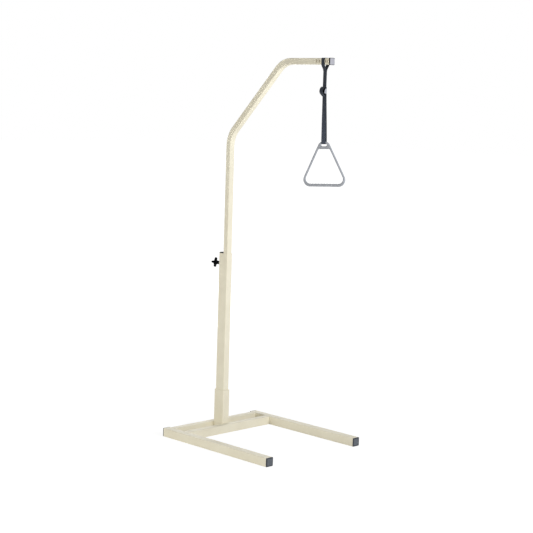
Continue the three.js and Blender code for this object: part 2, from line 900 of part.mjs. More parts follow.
function buckleFrame() {
  const inner_width = 2 * cheek_x;
  const cheeks = [1, -1].map((way) => moved(cheek(), way * cheek_x, 0, 0));
  const back = moved(
    alongX(roundedRectangle(
      THREE.Shape, back_plate_thick, back_plate_height, back_plate_thick / 4,
    ), inner_width),
    0, buckle_back - back_plate_thick / 2, -half_height + back_plate_height / 2,
  );
  const bar = moved(rodAlongX(sewn_bar_diameter, inner_width), 0, bar_y, bar_z - buckle_z);
  const pin_way = moved(
    rodAlongX(cam_pin_diameter + 2 * seat_gap, inner_width + 2 * overrun), 0, pin_y, pin_z - buckle_z,
  );
  return cut(join(...cheeks, back, bar), pin_way);
}
add(strap, 'buckle_frame', buckleFrame(), buckle_metal, 0, 0, buckle_z);

// Upper strap: both layers sewn together; the front one is sewn round the buckle's bar, the
// rear one passes behind the buckle. The top end is round, where the webbing flexes.
function upperStrap() {
  const sew_end = bar_z + 4 * sewn_outer;
  const rear = new THREE.Path();
  rear.moveTo(layer_y, strap_meet);
  rear.lineTo(layer_y, sew_end);
  rear.bezierCurveTo(
    layer_y, sew_end - 2 * sewn_outer, rear_run_y, bar_z + 3 * sewn_outer, rear_run_y, bar_z + sewn_outer,
  );
  rear.lineTo(rear_run_y, run_top);
  const front = new THREE.Path();
  const sewn_radius = sewn_inner + web_half;
  front.moveTo(-layer_y, strap_meet);
  front.lineTo(-layer_y, sew_end);
  front.quadraticCurveTo(-layer_y, bar_z + 2 * sewn_outer, bar_y - sewn_radius, bar_z + web_thick);
  front.absarc(bar_y, bar_z, sewn_radius, Math.PI, Math.PI + degrees(sewn_wrap), false);
  const round_end = moved(rodAlongX(2 * web_thick, web_width), 0, 0, strap_meet);
  return join(
    tape(rear, web_thick, web_width, 6), tape(front, web_thick, web_width, 8), round_end,
  );
}
add(strap, 'strap_upper', upperStrap(), black_webbing);

// Cam lever: toothed nose against the webbing, thumb plate to the front, on a sprung pin
function camLever() {
  const nose = degrees(cam_nose_angle);
  const outline = new THREE.Shape();
  const teeth = 2 * cam_tooth_count;
  const spread = degrees(cam_tooth_spread);
  for (let i = 0; i <= teeth; i += 1) {
    const angle = nose - spread / 2 + spread * i / teeth;
    const fall = (i / teeth - 0.5) ** 2 * 4 * (cam_nose_radius - cam_hub_radius) / 2;
    const radius = cam_nose_radius - fall - (i % 2) * cam_tooth_depth;
    outline[i === 0 ? 'moveTo' : 'lineTo'](radius * Math.cos(angle), radius * Math.sin(angle));
  }
  outline.absarc(0, 0, cam_hub_radius, nose + spread / 2, nose - spread / 2 + 2 * Math.PI, false);
  outline.closePath();
  const hub_width = web_width - spring_space;
  const hub = moved(alongX(outline, hub_width, 0, 1, 14), -spring_space / 2, 0, 0);
  const way = degrees(cam_lever_angle);
  const line = new THREE.Path();
  line.moveTo(cam_hub_radius / 2 * Math.cos(way), cam_hub_radius / 2 * Math.sin(way));
  const straight = cam_lever_length * cam_lever_straight_share;
  const curl = cam_lever_length * cam_lever_curl_share;
  const tip_way = way + degrees(cam_lever_curl);
  line.lineTo(straight * Math.cos(way), straight * Math.sin(way));
  line.quadraticCurveTo(
    curl * Math.cos(way),
    curl * Math.sin(way),
    cam_lever_length * Math.cos(tip_way),
    cam_lever_length * Math.sin(tip_way),
  );
  const thumb = moved(tape(line, cam_lever_thick, hub_width, 5), -spring_space / 2, 0, 0);
  const bore = rodAlongX(cam_pin_diameter + 2 * seat_gap, web_width + overrun);
  return cut(join(hub, thumb), bore);
}
add(strap, 'buckle_cam', camLever(), black_plastic, 0, pin_y, pin_z);

const pin_length = 2 * cheek_x + cheek_thick + 2 * seat_gap;
const pin_half = pin_length / 2 + pin_head_thick;
const pin_radius = cam_pin_diameter / 2;
const head_radius = pin_head_diameter / 2;
const crown_radius = head_radius * pin_head_crown_share;
add(strap, 'cam_pin', turnedAlongX([
  [0, 0],
  [0, crown_radius],
  [pin_head_thick / 2, head_radius],
  [pin_head_thick, head_radius],
  [pin_head_thick, pin_radius],
  [2 * pin_half - pin_head_thick, pin_radius],
  [2 * pin_half - pin_head_thick, head_radius],
  [2 * pin_half - pin_head_thick / 2, head_radius],
  [2 * pin_half, crown_radius],
  [2 * pin_half, 0],
]), buckle_metal, -pin_half, pin_y, pin_z);

// Torsion spring on the pin, between the cam's hub and the cheek
function camSpring() {
  const radius = pin_radius + seat_gap + spring_wire / 2;
  const climb = spring_space - 2 * seat_gap - spring_wire;
  const rings = [];
  for (let i = 0; i <= spring_turns * spring_steps; i += 1) {
    const share = i / (spring_turns * spring_steps);
    const angle = 2 * Math.PI * spring_turns * share;
    const out = new THREE.Vector3(0, Math.cos(angle), Math.sin(angle));
    const centre = out.clone().multiplyScalar(radius);
    centre.x = web_width / 2 - spring_space + seat_gap + spring_wire / 2 + climb * share;
    rings.push(Array.from({ length: spring_sides }, (_, k) => {
      const round = 2 * Math.PI * k / spring_sides;
      return centre.clone()
        .addScaledVector(out, spring_wire / 2 * Math.cos(round))
        .add(new THREE.Vector3(spring_wire / 2 * Math.sin(round), 0, 0));
    }));
  }
  return loft(rings);
}
add(strap, 'cam_spring', camSpring(), zinc_steel, 0, pin_y, pin_z);

// Tail: up through the throat, out over the buckle and back to the strap below it
function strapTail() {
  const top = buckle_z + half_height + tail_above - web_half;
  const bottom = buckle_z - half_height - tail_below + web_half;
  const front = -tail_reach + web_half;
  const clear_y = bar_y - sewn_outer - seat_gap - web_thick;
  const middle = (top + bottom) / 2;
  const rise = top - middle;
  const [leave, crest, fall] = tail_crest_shares.map((share) => middle + share * rise);
  const [turn_in, run_in] = tail_return_shares.map((share) => middle - share * rise);
  const line = new THREE.Path();
  line.moveTo(throat_y, run_top);
  line.lineTo(throat_y, buckle_z - half_height + back_plate_height * tail_exit_share);
  line.bezierCurveTo(
    throat_y, bar_z - 2 * sewn_outer, clear_y, bar_z - 2 * sewn_outer, clear_y, bar_z,
  );
  line.lineTo(clear_y, leave);
  line.bezierCurveTo(clear_y, crest, front, fall, front, middle);
  line.bezierCurveTo(
    front, turn_in, front * tail_return_reach_share, run_in, throat_y - 2 * web_thick, bottom,
  );
  return tape(line, web_thick, web_width, 9);
}
add(strap, 'strap_tail', strapTail(), black_webbing);

// Grip, drawn with u across and v up, its apex bar at the origin, turned about the strap

const side_angle = degrees(grip_side_angle);
const lean = Math.tan(side_angle);
const sharp_half = grip_width / 2 + grip_corner_radius * (lean + 1 / Math.cos(side_angle) - 1);
const sharp_height = sharp_half / lean;
const apex_radius = (sharp_height - grip_height) / (1 / Math.sin(side_angle) - 1);
const bar_axis = grip_height - apex_bar_thick / 2;
const inner_half = (height) =>
  sharp_half - height * lean - grip_side_thick / Math.cos(side_angle);
const slot_top = grip_height - apex_bar_thick;
const slot_floor = slot_top - slot_height;
const hole_top = slot_floor - slot_bar_thick;

function fingerHole() {
  const corner = new THREE.Vector2(inner_half(grip_bar_thick), grip_bar_thick);
  const top = new THREE.Vector2(inner_half(hole_top), hole_top);
  const mirrored = (point) => new THREE.Vector2(-point.x, point.y);
  const hole = new THREE.Path();
  cornerArc(hole, mirrored(corner), corner, top, grip_hole_corner);
  cornerArc(hole, corner, top, mirrored(top), grip_hole_top_corner);
  cornerArc(hole, top, mirrored(top), mirrored(corner), grip_hole_top_corner);
  cornerArc(hole, mirrored(top), mirrored(corner), corner, grip_hole_corner);
  const start = hole.currentPoint.clone();
  const samples = wave_count * wave_samples;
  for (let i = 1; i < samples; i += 1) {
    const rise = (1 - Math.cos(2 * Math.PI * i / wave_samples)) / 2;
    hole.lineTo(start.x * (1 - 2 * i / samples), start.y - wave_depth * rise);
  }
  hole.closePath();
  return hole;
}

function grip() {
  const outline = roundedPolygon(THREE.Shape, [
    [-sharp_half, 0], [sharp_half, 0], [0, sharp_height],
  ], [grip_corner_radius, grip_corner_radius, apex_radius]);
  outline.holes.push(fingerHole());
  const half = slot_width / 2;
  outline.holes.push(roundedPolygon(THREE.Path, [
    [-half, slot_floor], [half, slot_floor], [half, slot_top], [-half, slot_top],
  ], [slot_floor_corner, slot_floor_corner, slot_roof_corner, slot_roof_corner]));
  const moulding = new THREE.ExtrudeGeometry(outline, {
    depth: grip_depth - 2 * grip_round_depth,
    curveSegments: curve_steps,
    bevelThickness: grip_round_depth,
    bevelSize: grip_round_width,
    bevelOffset: -grip_round_width,
    bevelSegments: bevel_steps,
  }).translate(0, -bar_axis, grip_round_depth - grip_depth / 2);
  return moulding.applyMatrix4(pulled_along_y);
}

const hanger = new THREE.Group();
hanger.position.set(strap_x + grip_forward, 0, grip_top - apex_bar_thick / 2);
hanger.rotation.set(0, -degrees(grip_askew), degrees(grip_turn), 'ZYX');
trapeze.add(hanger);
add(hanger, 'grip_handle', grip(), grey_plastic);

// Webbing round the apex bar, open above
const loop_radius = grip_depth / 2 + seat_gap + web_slack + web_half;
function gripLoop() {
  const line = new THREE.Path();
  line.moveTo(-loop_radius, loop_radius);
  line.lineTo(-loop_radius, 0);
  line.absarc(0, 0, loop_radius, Math.PI, 2 * Math.PI, false);
  line.lineTo(loop_radius, loop_radius);
  return tape(line, web_thick, web_width, 10);
}
add(hanger, 'strap_grip_loop', gripLoop(), black_webbing);

// The two runs from the buckle to the grip, spreading and turning with it
function lowerRun(start_y, end_y) {
  const start = new THREE.Vector3(0, start_y, run_top - seat_gap);
  const end = new THREE.Vector3(0, end_y, loop_radius + seat_gap)
    .applyQuaternion(hanger.quaternion).add(hanger.position).sub(strap.position);
  const rings = Array.from({ length: run_steps + 1 }, (_, i) => {
    const share = i / run_steps;
    const turn = new THREE.Quaternion().slerp(hanger.quaternion, share * share * (3 - 2 * share));
    const centre = start.clone().lerp(end, share);
    return [[1, 1], [-1, 1], [-1, -1], [1, -1]].map(([across, through]) =>
      new THREE.Vector3(across * web_width / 2, through * web_half, 0)
        .applyQuaternion(turn).add(centre));
  });
  return loft(rings);
}
add(strap, 'strap_front_run', lowerRun(throat_y, -loop_radius), black_webbing);
add(strap, 'strap_rear_run', lowerRun(rear_run_y, loop_radius), black_webbing);

const whole = new THREE.Box3().setFromObject(trapeze, true);
trapeze.position.x = -(whole.min.x + whole.max.x) / 2;

export default trapeze;
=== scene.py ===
import math

import bpy
import numpy as np
from mathutils import Matrix, Quaternion, Vector
from mathutils.geometry import tessellate_polygon


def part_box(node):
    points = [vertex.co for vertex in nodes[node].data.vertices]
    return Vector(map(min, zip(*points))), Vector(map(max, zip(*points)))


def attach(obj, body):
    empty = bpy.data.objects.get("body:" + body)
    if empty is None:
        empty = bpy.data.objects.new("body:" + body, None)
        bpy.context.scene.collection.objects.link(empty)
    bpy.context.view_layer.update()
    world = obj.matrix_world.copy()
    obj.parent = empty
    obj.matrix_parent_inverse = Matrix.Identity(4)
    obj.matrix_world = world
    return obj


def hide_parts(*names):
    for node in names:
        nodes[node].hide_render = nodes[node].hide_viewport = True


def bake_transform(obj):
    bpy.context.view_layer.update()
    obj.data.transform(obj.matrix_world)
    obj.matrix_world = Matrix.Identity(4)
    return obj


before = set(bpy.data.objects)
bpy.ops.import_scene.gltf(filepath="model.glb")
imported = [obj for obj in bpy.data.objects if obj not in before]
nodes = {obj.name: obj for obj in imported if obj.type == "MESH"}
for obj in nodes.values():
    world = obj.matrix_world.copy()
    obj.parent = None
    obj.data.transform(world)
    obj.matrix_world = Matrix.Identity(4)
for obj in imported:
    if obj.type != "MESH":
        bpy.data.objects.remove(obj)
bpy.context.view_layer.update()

MM = 0.001
LEG_Y = 352.5 * MM
LEG_HALF = 25 * MM
CAP_PANEL_HALF = 19 * MM
BOOM_HALF = 17.5 * MM
BOOM_TOP = 2205 * MM
KEEPER_WIDTH = 5.6 * MM
KEEPER_SETBACKS = (92.9 * MM, 71.9 * MM, 25.2 * MM, 14.9 * MM)
COLLAR_INSIDE = 17.7 * MM
SHARP_ANGLE = math.radians(50)
WHITE = (1.0, 1.0, 1.0)
NOISE_LOW, NOISE_HIGH = 0.3, 0.7
MIX_COLOURS = (6, 7)
MIX_RESULT = 2
scene = bpy.context.scene
scene.view_settings.view_transform = "Standard"


# Camera

CAMERA_PLACE = Vector((5.41643, -5.4599, 1.9783))
AZIMUTH = math.radians(45.035)
ELEVATION = math.radians(7.041)
ROLL = math.radians(1.775)
SENSOR = 36.0
FOCAL_PIXELS = 1359.28
PICTURE = 533
VIEW_REACH = 200


def make_camera():
    right = Vector((math.cos(AZIMUTH), math.sin(AZIMUTH), 0))
    back = Vector((
        math.sin(AZIMUTH) * math.cos(ELEVATION),
        -math.cos(AZIMUTH) * math.cos(ELEVATION),
        math.sin(ELEVATION),
    ))
    up = back.cross(right)
    across = right * math.cos(ROLL) + up * math.sin(ROLL)
    upward = up * math.cos(ROLL) - right * math.sin(ROLL)
    data = bpy.data.cameras.new("camera")
    data.sensor_width = SENSOR
    data.lens = FOCAL_PIXELS * SENSOR / PICTURE
    data.clip_end = VIEW_REACH
    camera = bpy.data.objects.new("camera", data)
    turn = Matrix((across, upward, back)).transposed()
    camera.matrix_world = Matrix.Translation(CAMERA_PLACE) @ turn.to_4x4()
    scene.collection.objects.link(camera)
    scene.camera = camera


make_camera()


# Node helpers


class Nodes:
    """Short ways to place and join nodes in one tree."""

    def __init__(self, tree):
        self.tree = tree

    def add(self, kind, **settings):
        node = self.tree.nodes.new(kind)
        for key, value in settings.items():
            setattr(node, key, value)
        return node

    def feed(self, socket, value):
        if isinstance(value, bpy.types.NodeSocket):
            self.tree.links.new(value, socket)
        else:
            socket.default_value = value

    def math(self, operation, a, b=None, clamp=False):
        node = self.add("ShaderNodeMath", operation=operation, use_clamp=clamp)
        self.feed(node.inputs[0], a)
        if b is not None:
            self.feed(node.inputs[1], b)
        return node.outputs[0]

    def noise(self, where, scale, detail, roughness):
        node = self.add("ShaderNodeTexNoise")
        self.feed(node.inputs["Vector"], where)
        node.inputs["Scale"].default_value = scale
        node.inputs["Detail"].default_value = detail
        node.inputs["Roughness"].default_value = roughness
        return node.outputs["Fac"]

    def spread(self, value, low, high, to_low, to_high):
        node = self.add("ShaderNodeMapRange")
        self.feed(node.inputs["Value"], value)
        node.inputs["From Min"].default_value = low
        node.inputs["From Max"].default_value = high
        node.inputs["To Min"].default_value = to_low
        node.inputs["To Max"].default_value = to_high
        return node.outputs["Result"]

    def uneven(self, noise, low, high):
        """A noise whose usual range is stretched to run from low to high."""
        return self.spread(noise, NOISE_LOW, NOISE_HIGH, low, high)

    def blend(self, share, *colours, how="MIX"):
        node = self.add("ShaderNodeMix", data_type="RGBA", blend_type=how)
        self.feed(node.inputs[0], share)
        for socket, colour in zip(MIX_COLOURS, colours):
            self.feed(node.inputs[socket], colour)
        return node.outputs[MIX_RESULT]

    def tinted(self, share, tone, tint):
        """The tone, multiplied by the tint as far as the share says."""
        return self.blend(share, tone, tint, how="MULTIPLY")

    def bump(self, height, strength, distance):
        node = self.add("ShaderNodeBump")
        self.feed(node.inputs["Height"], height)
        node.inputs["Strength"].default_value = strength
        node.inputs["Distance"].default_value = distance
        return node.outputs["Normal"]

    def stretched(self, where, scales):
        node = self.add("ShaderNodeMapping")
        self.feed(node.inputs["Vector"], where)
        node.inputs["Scale"].default_value = scales
        return node.outputs["Vector"]

    def parts(self, vector):
        """The three values of a vector."""
        node = self.add("ShaderNodeSeparateXYZ")
        self.feed(node.inputs[0], vector)
        return node.outputs

    def seen(self):
        """1 for the rays that show a surface to the camera, straight or by way of a shine, and 0 for light."""
        rays = self.add("ShaderNodeLightPath").outputs
        straight = self.math("ADD", rays["Is Camera Ray"], rays["Is Glossy Ray"])
        return self.math("ADD", straight, rays["Is Transmission Ray"], clamp=True)


def linear(red, green, blue):
    """A display colour, 0 to 255, as the linear values that a shader takes."""
    def one(value):
        value /= 255
        return value / 12.92 if value <= 0.04045 else ((value + 0.055) / 1.055) ** 2.4
    return (one(red), one(green), one(blue), 1.0)


def new_material(name):
    material = bpy.data.materials.new(name)
    material.use_nodes = True
    tree = material.node_tree
    tree.nodes.clear()
    kit = Nodes(tree)
    output = kit.add("ShaderNodeOutputMaterial")
    shader = kit.add("ShaderNodeBsdfPrincipled")
    tree.links.new(shader.outputs[0], output.inputs["Surface"])
    return material, kit, shader


def object_place(kit):
    return kit.add("ShaderNodeTexCoord").outputs["Object"]


# Materials


# Painted shade on the boom's sides along both edges of each strap keeper: its full band, its reach, the heights it
# spans and its tint.
KEEPER_SHADE_FULL = 0.5 * MM
KEEPER_SHADE_REACH = 1.8 * MM
KEEPER_SHADE_HEIGHTS = (5 * MM, 9.5 * MM)
KEEPER_SHADE_TINT = (0.42, 0.36, 0.3, 1.0)
BOOM_SIDE = (17 * MM, 17.3 * MM)


def keeper_shade_share(kit, where, middles):
    """Painted shade on the boom's sides, along both edges of each strap keeper."""
    x, y, z = kit.parts(where)
    most = None
    for middle in middles:
        away = kit.math("ABSOLUTE", kit.math("SUBTRACT", x, middle))
        band = kit.math("ABSOLUTE", kit.math("SUBTRACT", away, KEEPER_WIDTH / 2 + KEEPER_SHADE_FULL))
        share = kit.spread(band, KEEPER_SHADE_FULL, KEEPER_SHADE_REACH, 1.0, 0.0)
        most = share if most is None else kit.math("MAXIMUM", most, share)
    height = kit.math("ABSOLUTE", kit.math("SUBTRACT", z, BOOM_TOP - BOOM_HALF))
    inside = kit.spread(height, *KEEPER_SHADE_HEIGHTS, 1.0, 0.0)
    on_side = kit.spread(kit.math("ABSOLUTE", y), *BOOM_SIDE, 0.0, 1.0)
    patchy = kit.uneven(kit.noise(where, scale=300.0, detail=3.0, roughness=0.6), low=0.7, high=1.0)
    return kit.math("MULTIPLY", kit.math("MULTIPLY", most, inside), kit.math("MULTIPLY", on_side, patchy))


def paint(name, light, dark, keeper_shade_at=()):
    """Powder coat on steel: faint orange peel, slight mottling, a duller patch here and there, and painted shade along
    the strap keepers where they are given.
    """
    material, kit, shader = new_material(name)
    where = object_place(kit)
    mottling = kit.uneven(kit.noise(where, scale=9.0, detail=4.0, roughness=0.55), low=0.0, high=1.0)
    tone = kit.blend(mottling, dark, light)
    # Painted shade beside the strap keepers, where they are given.
    if keeper_shade_at:
        tone = kit.tinted(keeper_shade_share(kit, where, keeper_shade_at), tone, KEEPER_SHADE_TINT)
    kit.feed(shader.inputs["Base Color"], tone)
    dull = kit.noise(where, scale=55.0, detail=5.0, roughness=0.6)
    kit.feed(shader.inputs["Roughness"], kit.uneven(dull, low=0.5, high=0.62))
    peel = kit.noise(where, scale=420.0, detail=2.0, roughness=0.4)
    kit.feed(shader.inputs["Normal"], kit.bump(peel, strength=0.04, distance=0.2 * MM))
    shader.inputs["Specular IOR Level"].default_value = 0.2
    return material


GRAIN = 1500.0
GRAIN_DEPTH = 0.12 * MM
GRAIN_STRENGTH = 0.12
FLOW_HEIGHT = 0.8


def moulded(name, light, dark, roughness, grain=GRAIN, depth=GRAIN_DEPTH, shine=0.5):
    """Injection-moulded plastic with a spark-eroded grain and faint flow marks."""
    material, kit, shader = new_material(name)
    where = object_place(kit)
    flow = kit.uneven(kit.noise(where, scale=22.0, detail=4.0, roughness=0.6), low=0.0, high=1.0)
    kit.feed(shader.inputs["Base Color"], kit.blend(flow, dark, light))
    rubbed = kit.noise(where, scale=70.0, detail=4.0, roughness=0.65)
    kit.feed(shader.inputs["Roughness"], kit.uneven(rubbed, *roughness))
    texture = kit.noise(where, scale=grain, detail=2.0, roughness=0.6)
    waves = kit.noise(where, scale=120.0, detail=2.0, roughness=0.5)
    height = kit.math("ADD", texture, kit.math("MULTIPLY", waves, FLOW_HEIGHT))
    kit.feed(shader.inputs["Normal"], kit.bump(height, GRAIN_STRENGTH, depth))
    shader.inputs["Specular IOR Level"].default_value = shine
    return material


def plated(name, light, dark, roughness, brushed):
    """Plated steel: fine scratches along one direction, cloudy plating."""
    material, kit, shader = new_material(name)
    where = object_place(kit)
    cloud = kit.uneven(kit.noise(where, scale=140.0, detail=4.0, roughness=0.6), low=0.0, high=1.0)
    kit.feed(shader.inputs["Base Color"], kit.blend(cloud, dark, light))
    shader.inputs["Metallic"].default_value = 1.0
    lines = kit.noise(kit.stretched(where, brushed), scale=900.0, detail=3.0, roughness=0.6)
    kit.feed(shader.inputs["Roughness"], kit.uneven(lines, *roughness))
    kit.feed(shader.inputs["Normal"], kit.bump(lines, strength=0.15, distance=0.1 * MM))
    return material


WARP = 1.05 * MM
PICK = 1.9 * MM
WARP_ROUNDING = 2.0
PICK_ROUNDING = 2.6
YARN_CONTRAST = 0.6
FIBRE_HEIGHT = 0.3
FIBRE_STRETCH = (1.0, 1.0, 0.25)
SHEEN_TINT = (0.62, 0.68, 0.82, 1.0)


def woven(name, light, dark):
    """Narrow woven webbing: columns of short floats, each set half a pick from its neighbour.
    The map coordinates run across and along the webbing, in metres, and its tone by height, with painted shade on the
    rear run, is on its points."""
    material, kit, shader = new_material(name)
    across, along, _ = kit.parts(kit.add("ShaderNodeTexCoord").outputs["UV"])
    column = kit.math("DIVIDE", across, WARP)
    odd = kit.math("MODULO", kit.math("FLOOR", column), 2.0)
    row = kit.math("ADD", kit.math("DIVIDE", along, PICK), kit.math("MULTIPLY", odd, 0.5))

    def dome(value, power):
        inside = kit.math("SUBTRACT", kit.math("MULTIPLY", kit.math("FRACT", value), 2.0), 1.0)
        far = kit.math("POWER", kit.math("ABSOLUTE", inside), power)
        return kit.math("SUBTRACT", 1.0, far, clamp=True)

    yarn = kit.math("MULTIPLY", dome(column, WARP_ROUNDING), dome(row, PICK_ROUNDING))
    where = object_place(kit)
    fibre = kit.noise(kit.stretched(where, FIBRE_STRETCH), scale=2600.0, detail=2.0, roughness=0.6)
    worn = kit.noise(where, scale=60.0, detail=4.0, roughness=0.6)
    height = kit.math("ADD", yarn, kit.math("MULTIPLY", fibre, FIBRE_HEIGHT))
    # The gaps between the floats take the dark tone: painted shade in the weave's hollows.
    share = kit.math("MULTIPLY", kit.math("POWER", yarn, YARN_CONTRAST), kit.uneven(worn, low=0.75, high=1.0))
    # The attribute read here scales the colour: paler lower down, and painted shade on the rear run.
    tone_and_shade = kit.add("ShaderNodeAttribute", attribute_name="tone_and_shade").outputs["Fac"]
    kit.feed(shader.inputs["Base Color"], kit.tinted(1.0, kit.blend(share, dark, light), tone_and_shade))
    kit.feed(shader.inputs["Roughness"], kit.uneven(fibre, low=0.72, high=0.92))
    kit.feed(shader.inputs["Normal"], kit.bump(height, strength=0.75, distance=0.35 * MM))
    shader.inputs["Specular IOR Level"].default_value = 0.3
    shader.inputs["Sheen Weight"].default_value = 0.12
    shader.inputs["Sheen Roughness"].default_value = 0.45
    shader.inputs["Sheen Tint"].default_value = SHEEN_TINT
    return material


PANEL_EDGE = 0.4 * MM
PANEL_DULLER = 0.08


def cap_plastic(name, border, panel):
    """Moulded plastic whose sunk square panel is paler and duller than the rim around it."""
    material, kit, shader = new_material(name)
    where = object_place(kit)
    _, y, z = kit.parts(where)
    across = kit.math("ABSOLUTE", kit.math("SUBTRACT", kit.math("ABSOLUTE", y), LEG_Y))
    up = kit.math("ABSOLUTE", kit.math("SUBTRACT", z, LEG_HALF))
    far = kit.math("MAXIMUM", across, up)
    inside = kit.spread(far, CAP_PANEL_HALF - PANEL_EDGE, CAP_PANEL_HALF + PANEL_EDGE, 1.0, 0.0)
    flow = kit.uneven(kit.noise(where, scale=30.0, detail=4.0, roughness=0.6), low=0.9, high=1.08)
    kit.feed(shader.inputs["Base Color"], kit.tinted(1.0, kit.blend(inside, border, panel), flow))
    rubbed = kit.noise(where, scale=70.0, detail=4.0, roughness=0.65)
    kit.feed(shader.inputs["Roughness"], kit.math(
        "ADD", kit.uneven(rubbed, low=0.46, high=0.58), kit.math("MULTIPLY", inside, PANEL_DULLER),
    ))
    grain = kit.noise(where, scale=GRAIN, detail=2.0, roughness=0.6)
    kit.feed(shader.inputs["Normal"], kit.bump(grain, GRAIN_STRENGTH, GRAIN_DEPTH))
    shader.inputs["Specular IOR Level"].default_value = 0.3
    return material


CREAM_TONES = (linear(240, 234, 213), linear(234, 227, 205))
boom_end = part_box("boom_end_collar")[0].x + COLLAR_INSIDE
cream = paint("cream_paint", *CREAM_TONES)
# The upper tube's paint has painted shade along both edges of each strap keeper.
keeper_shaded_cream = paint("cream_paint_keeper_shade", *CREAM_TONES, [boom_end - setback for setback in KEEPER_SETBACKS])
slate = cap_plastic("slate_plastic", linear(52, 55, 62), linear(105, 110, 117))
black = moulded(
    "black_plastic", linear(7, 9, 14), linear(5, 6, 10), roughness=(0.34, 0.48), depth=0.06 * MM, shine=0.02,
)
pale = moulded(
    "pale_plastic", linear(152, 152, 159), linear(144, 144, 151), roughness=(0.36, 0.48), depth=0.08 * MM,
)
grey = moulded(
    "grey_plastic", linear(153, 156, 162), linear(145, 148, 154), roughness=(0.4, 0.54), depth=0.05 * MM, shine=0.35,
)
zinc = plated(
    "zinc_steel", linear(196, 199, 205), linear(168, 171, 178), roughness=(0.3, 0.45), brushed=(0.1, 1.0, 1.0),
)
nickel = plated(
    "buckle_metal", linear(146, 148, 154), linear(124, 126, 133), roughness=(0.48, 0.6), brushed=(1.0, 1.0, 0.12),
)
webbing = woven("black_webbing", linear(60, 66, 77), linear(17, 19, 24))
thread = moulded("black_thread", linear(58, 61, 72), linear(34, 36, 43), roughness=(0.55, 0.7), grain=2 * GRAIN)

FINISHES = {
    "left_leg": cream, "right_leg": cream, "rear_rail": cream, "front_rail": cream,
    "front_left_cap": slate, "front_right_cap": slate, "rear_left_cap": slate, "rear_right_cap": slate,
    "mast_socket": cream, "socket_floor_plate": cream, "outer_tube": cream, "upper_tube": keeper_shaded_cream,
    "clamp_boss": cream, "mast_foot_block": zinc, "mast_bolt_washer": zinc, "mast_bolt": zinc,
    "cam_spring": zinc, "top_guide_insert": black, "glide_shoe": black,
    "pressure_pad": black, "star_knob": black, "boom_end_collar": black, "boom_end_cap": pale,
    "buckle_frame": nickel, "cam_pin": nickel, "buckle_cam": black,
}


JOIN_DISTANCE = 0.002 * MM
FLAT_FACE_WEIGHT = 90


def shading_group():
    """Joins the corners that faces share, and shades smoothly across all but the sharp edges."""
    tree = bpy.data.node_groups.new("soft_shading", "GeometryNodeTree")
    tree.interface.new_socket("Geometry", in_out="INPUT", socket_type="NodeSocketGeometry")
    tree.interface.new_socket("Geometry", in_out="OUTPUT", socket_type="NodeSocketGeometry")
    kit = Nodes(tree)
    joined = kit.add("GeometryNodeMergeByDistance")
    joined.inputs["Distance"].default_value = JOIN_DISTANCE
    plain = kit.add("GeometryNodeSetMeshNormal", mode="SHARPNESS")
    faces = kit.add("GeometryNodeSetShadeSmooth", domain="FACE")
    edges = kit.add("GeometryNodeSetShadeSmooth", domain="EDGE")
    angle = kit.add("GeometryNodeInputMeshEdgeAngle").outputs["Unsigned Angle"]
    chain = [kit.add("NodeGroupInput"), joined, plain, faces, edges, kit.add("NodeGroupOutput")]
    for before, after in zip(chain, chain[1:]):
        target = next(socket for socket in after.inputs if socket.type == "GEOMETRY")
        kit.feed(target, before.outputs[0])
    kit.feed(edges.inputs["Shade Smooth"], kit.math("LESS_THAN", angle, SHARP_ANGLE))
    return tree


def weigh(made):
    """Flat faces stay flat in the shading, and the small faces round a corner turn between them."""
    weighted = made.modifiers.new("flat_faces", "WEIGHTED_NORMAL")
    weighted.mode = "FACE_AREA"
    weighted.weight = FLAT_FACE_WEIGHT
    weighted.keep_sharp = True


SOFT_SHADING = shading_group()

for name, material in FINISHES.items():
    mesh = nodes[name].data
    mesh.materials.clear()
    mesh.materials.append(material)
    nodes[name].modifiers.new("soft_shading", "NODES").node_group = SOFT_SHADING
    weigh(nodes[name])


# Piece helpers


def piece(name, points, faces, material, maps=None, smooth=True):
    mesh = bpy.data.meshes.new(name)
    mesh.from_pydata([tuple(p) for p in points], [], [tuple(f) for f in faces])
    mesh.materials.append(material)
    if maps is not None:
        layer = mesh.uv_layers.new(name="length_map")
        for loop in mesh.loops:
            layer.data[loop.index].uv = maps[loop.vertex_index]
    mesh.shade_smooth() if smooth else mesh.shade_flat()
    mesh.update()
    made = bpy.data.objects.new(name, mesh)
    scene.collection.objects.link(made)
    return made


def swept(centres, across, section):
    """Rings of the section, its u along across and its v square to that and to the line, capped."""
    count = len(section)
    points = []
    for i, (centre, side) in enumerate(zip(centres, across)):
        way = (centres[min(i + 1, len(centres) - 1)] - centres[max(i - 1, 0)]).normalized()
        u = (side - way * side.dot(way)).normalized()
        v = u.cross(way)
        points += [centre + u * a + v * b for a, b in section]
    faces = []
    for i in range(len(centres) - 1):
        for k in range(count):
            n = (k + 1) % count
            faces.append((i * count + k, i * count + n, (i + 1) * count + n, (i + 1) * count + k))
    last = (len(centres) - 1) * count
    faces.append(tuple(range(count - 1, -1, -1)))
    faces.append(tuple(range(last, last + count)))
    return points, faces


def lengths(centres):
    steps = [(b - a).length for a, b in zip(centres, centres[1:])]
    return [0.0, *np.cumsum(steps)]


# Lines in the YZ plane


def bezier(*controls, steps):
    """Points of the curve with these controls, without the first one."""
    points = []
    for i in range(1, steps + 1):
        row = [Vector(c) for c in controls]
        t = i / steps
        while len(row) > 1:
            row = [a.lerp(b, t) for a, b in zip(row, row[1:])]
        points.append(row[0])
    return points


def straight(a, b, steps):
    return [Vector(a).lerp(Vector(b), i / steps) for i in range(1, steps + 1)]


def arc(y, z, radius, start, end, steps):
    """Angles in half turns, from +Y towards +Z."""
    angles = [math.pi * (start + (end - start) * i / steps) for i in range(1, steps + 1)]
    return [Vector((y + radius * math.cos(a), z + radius * math.sin(a))) for a in angles]


# Webbing

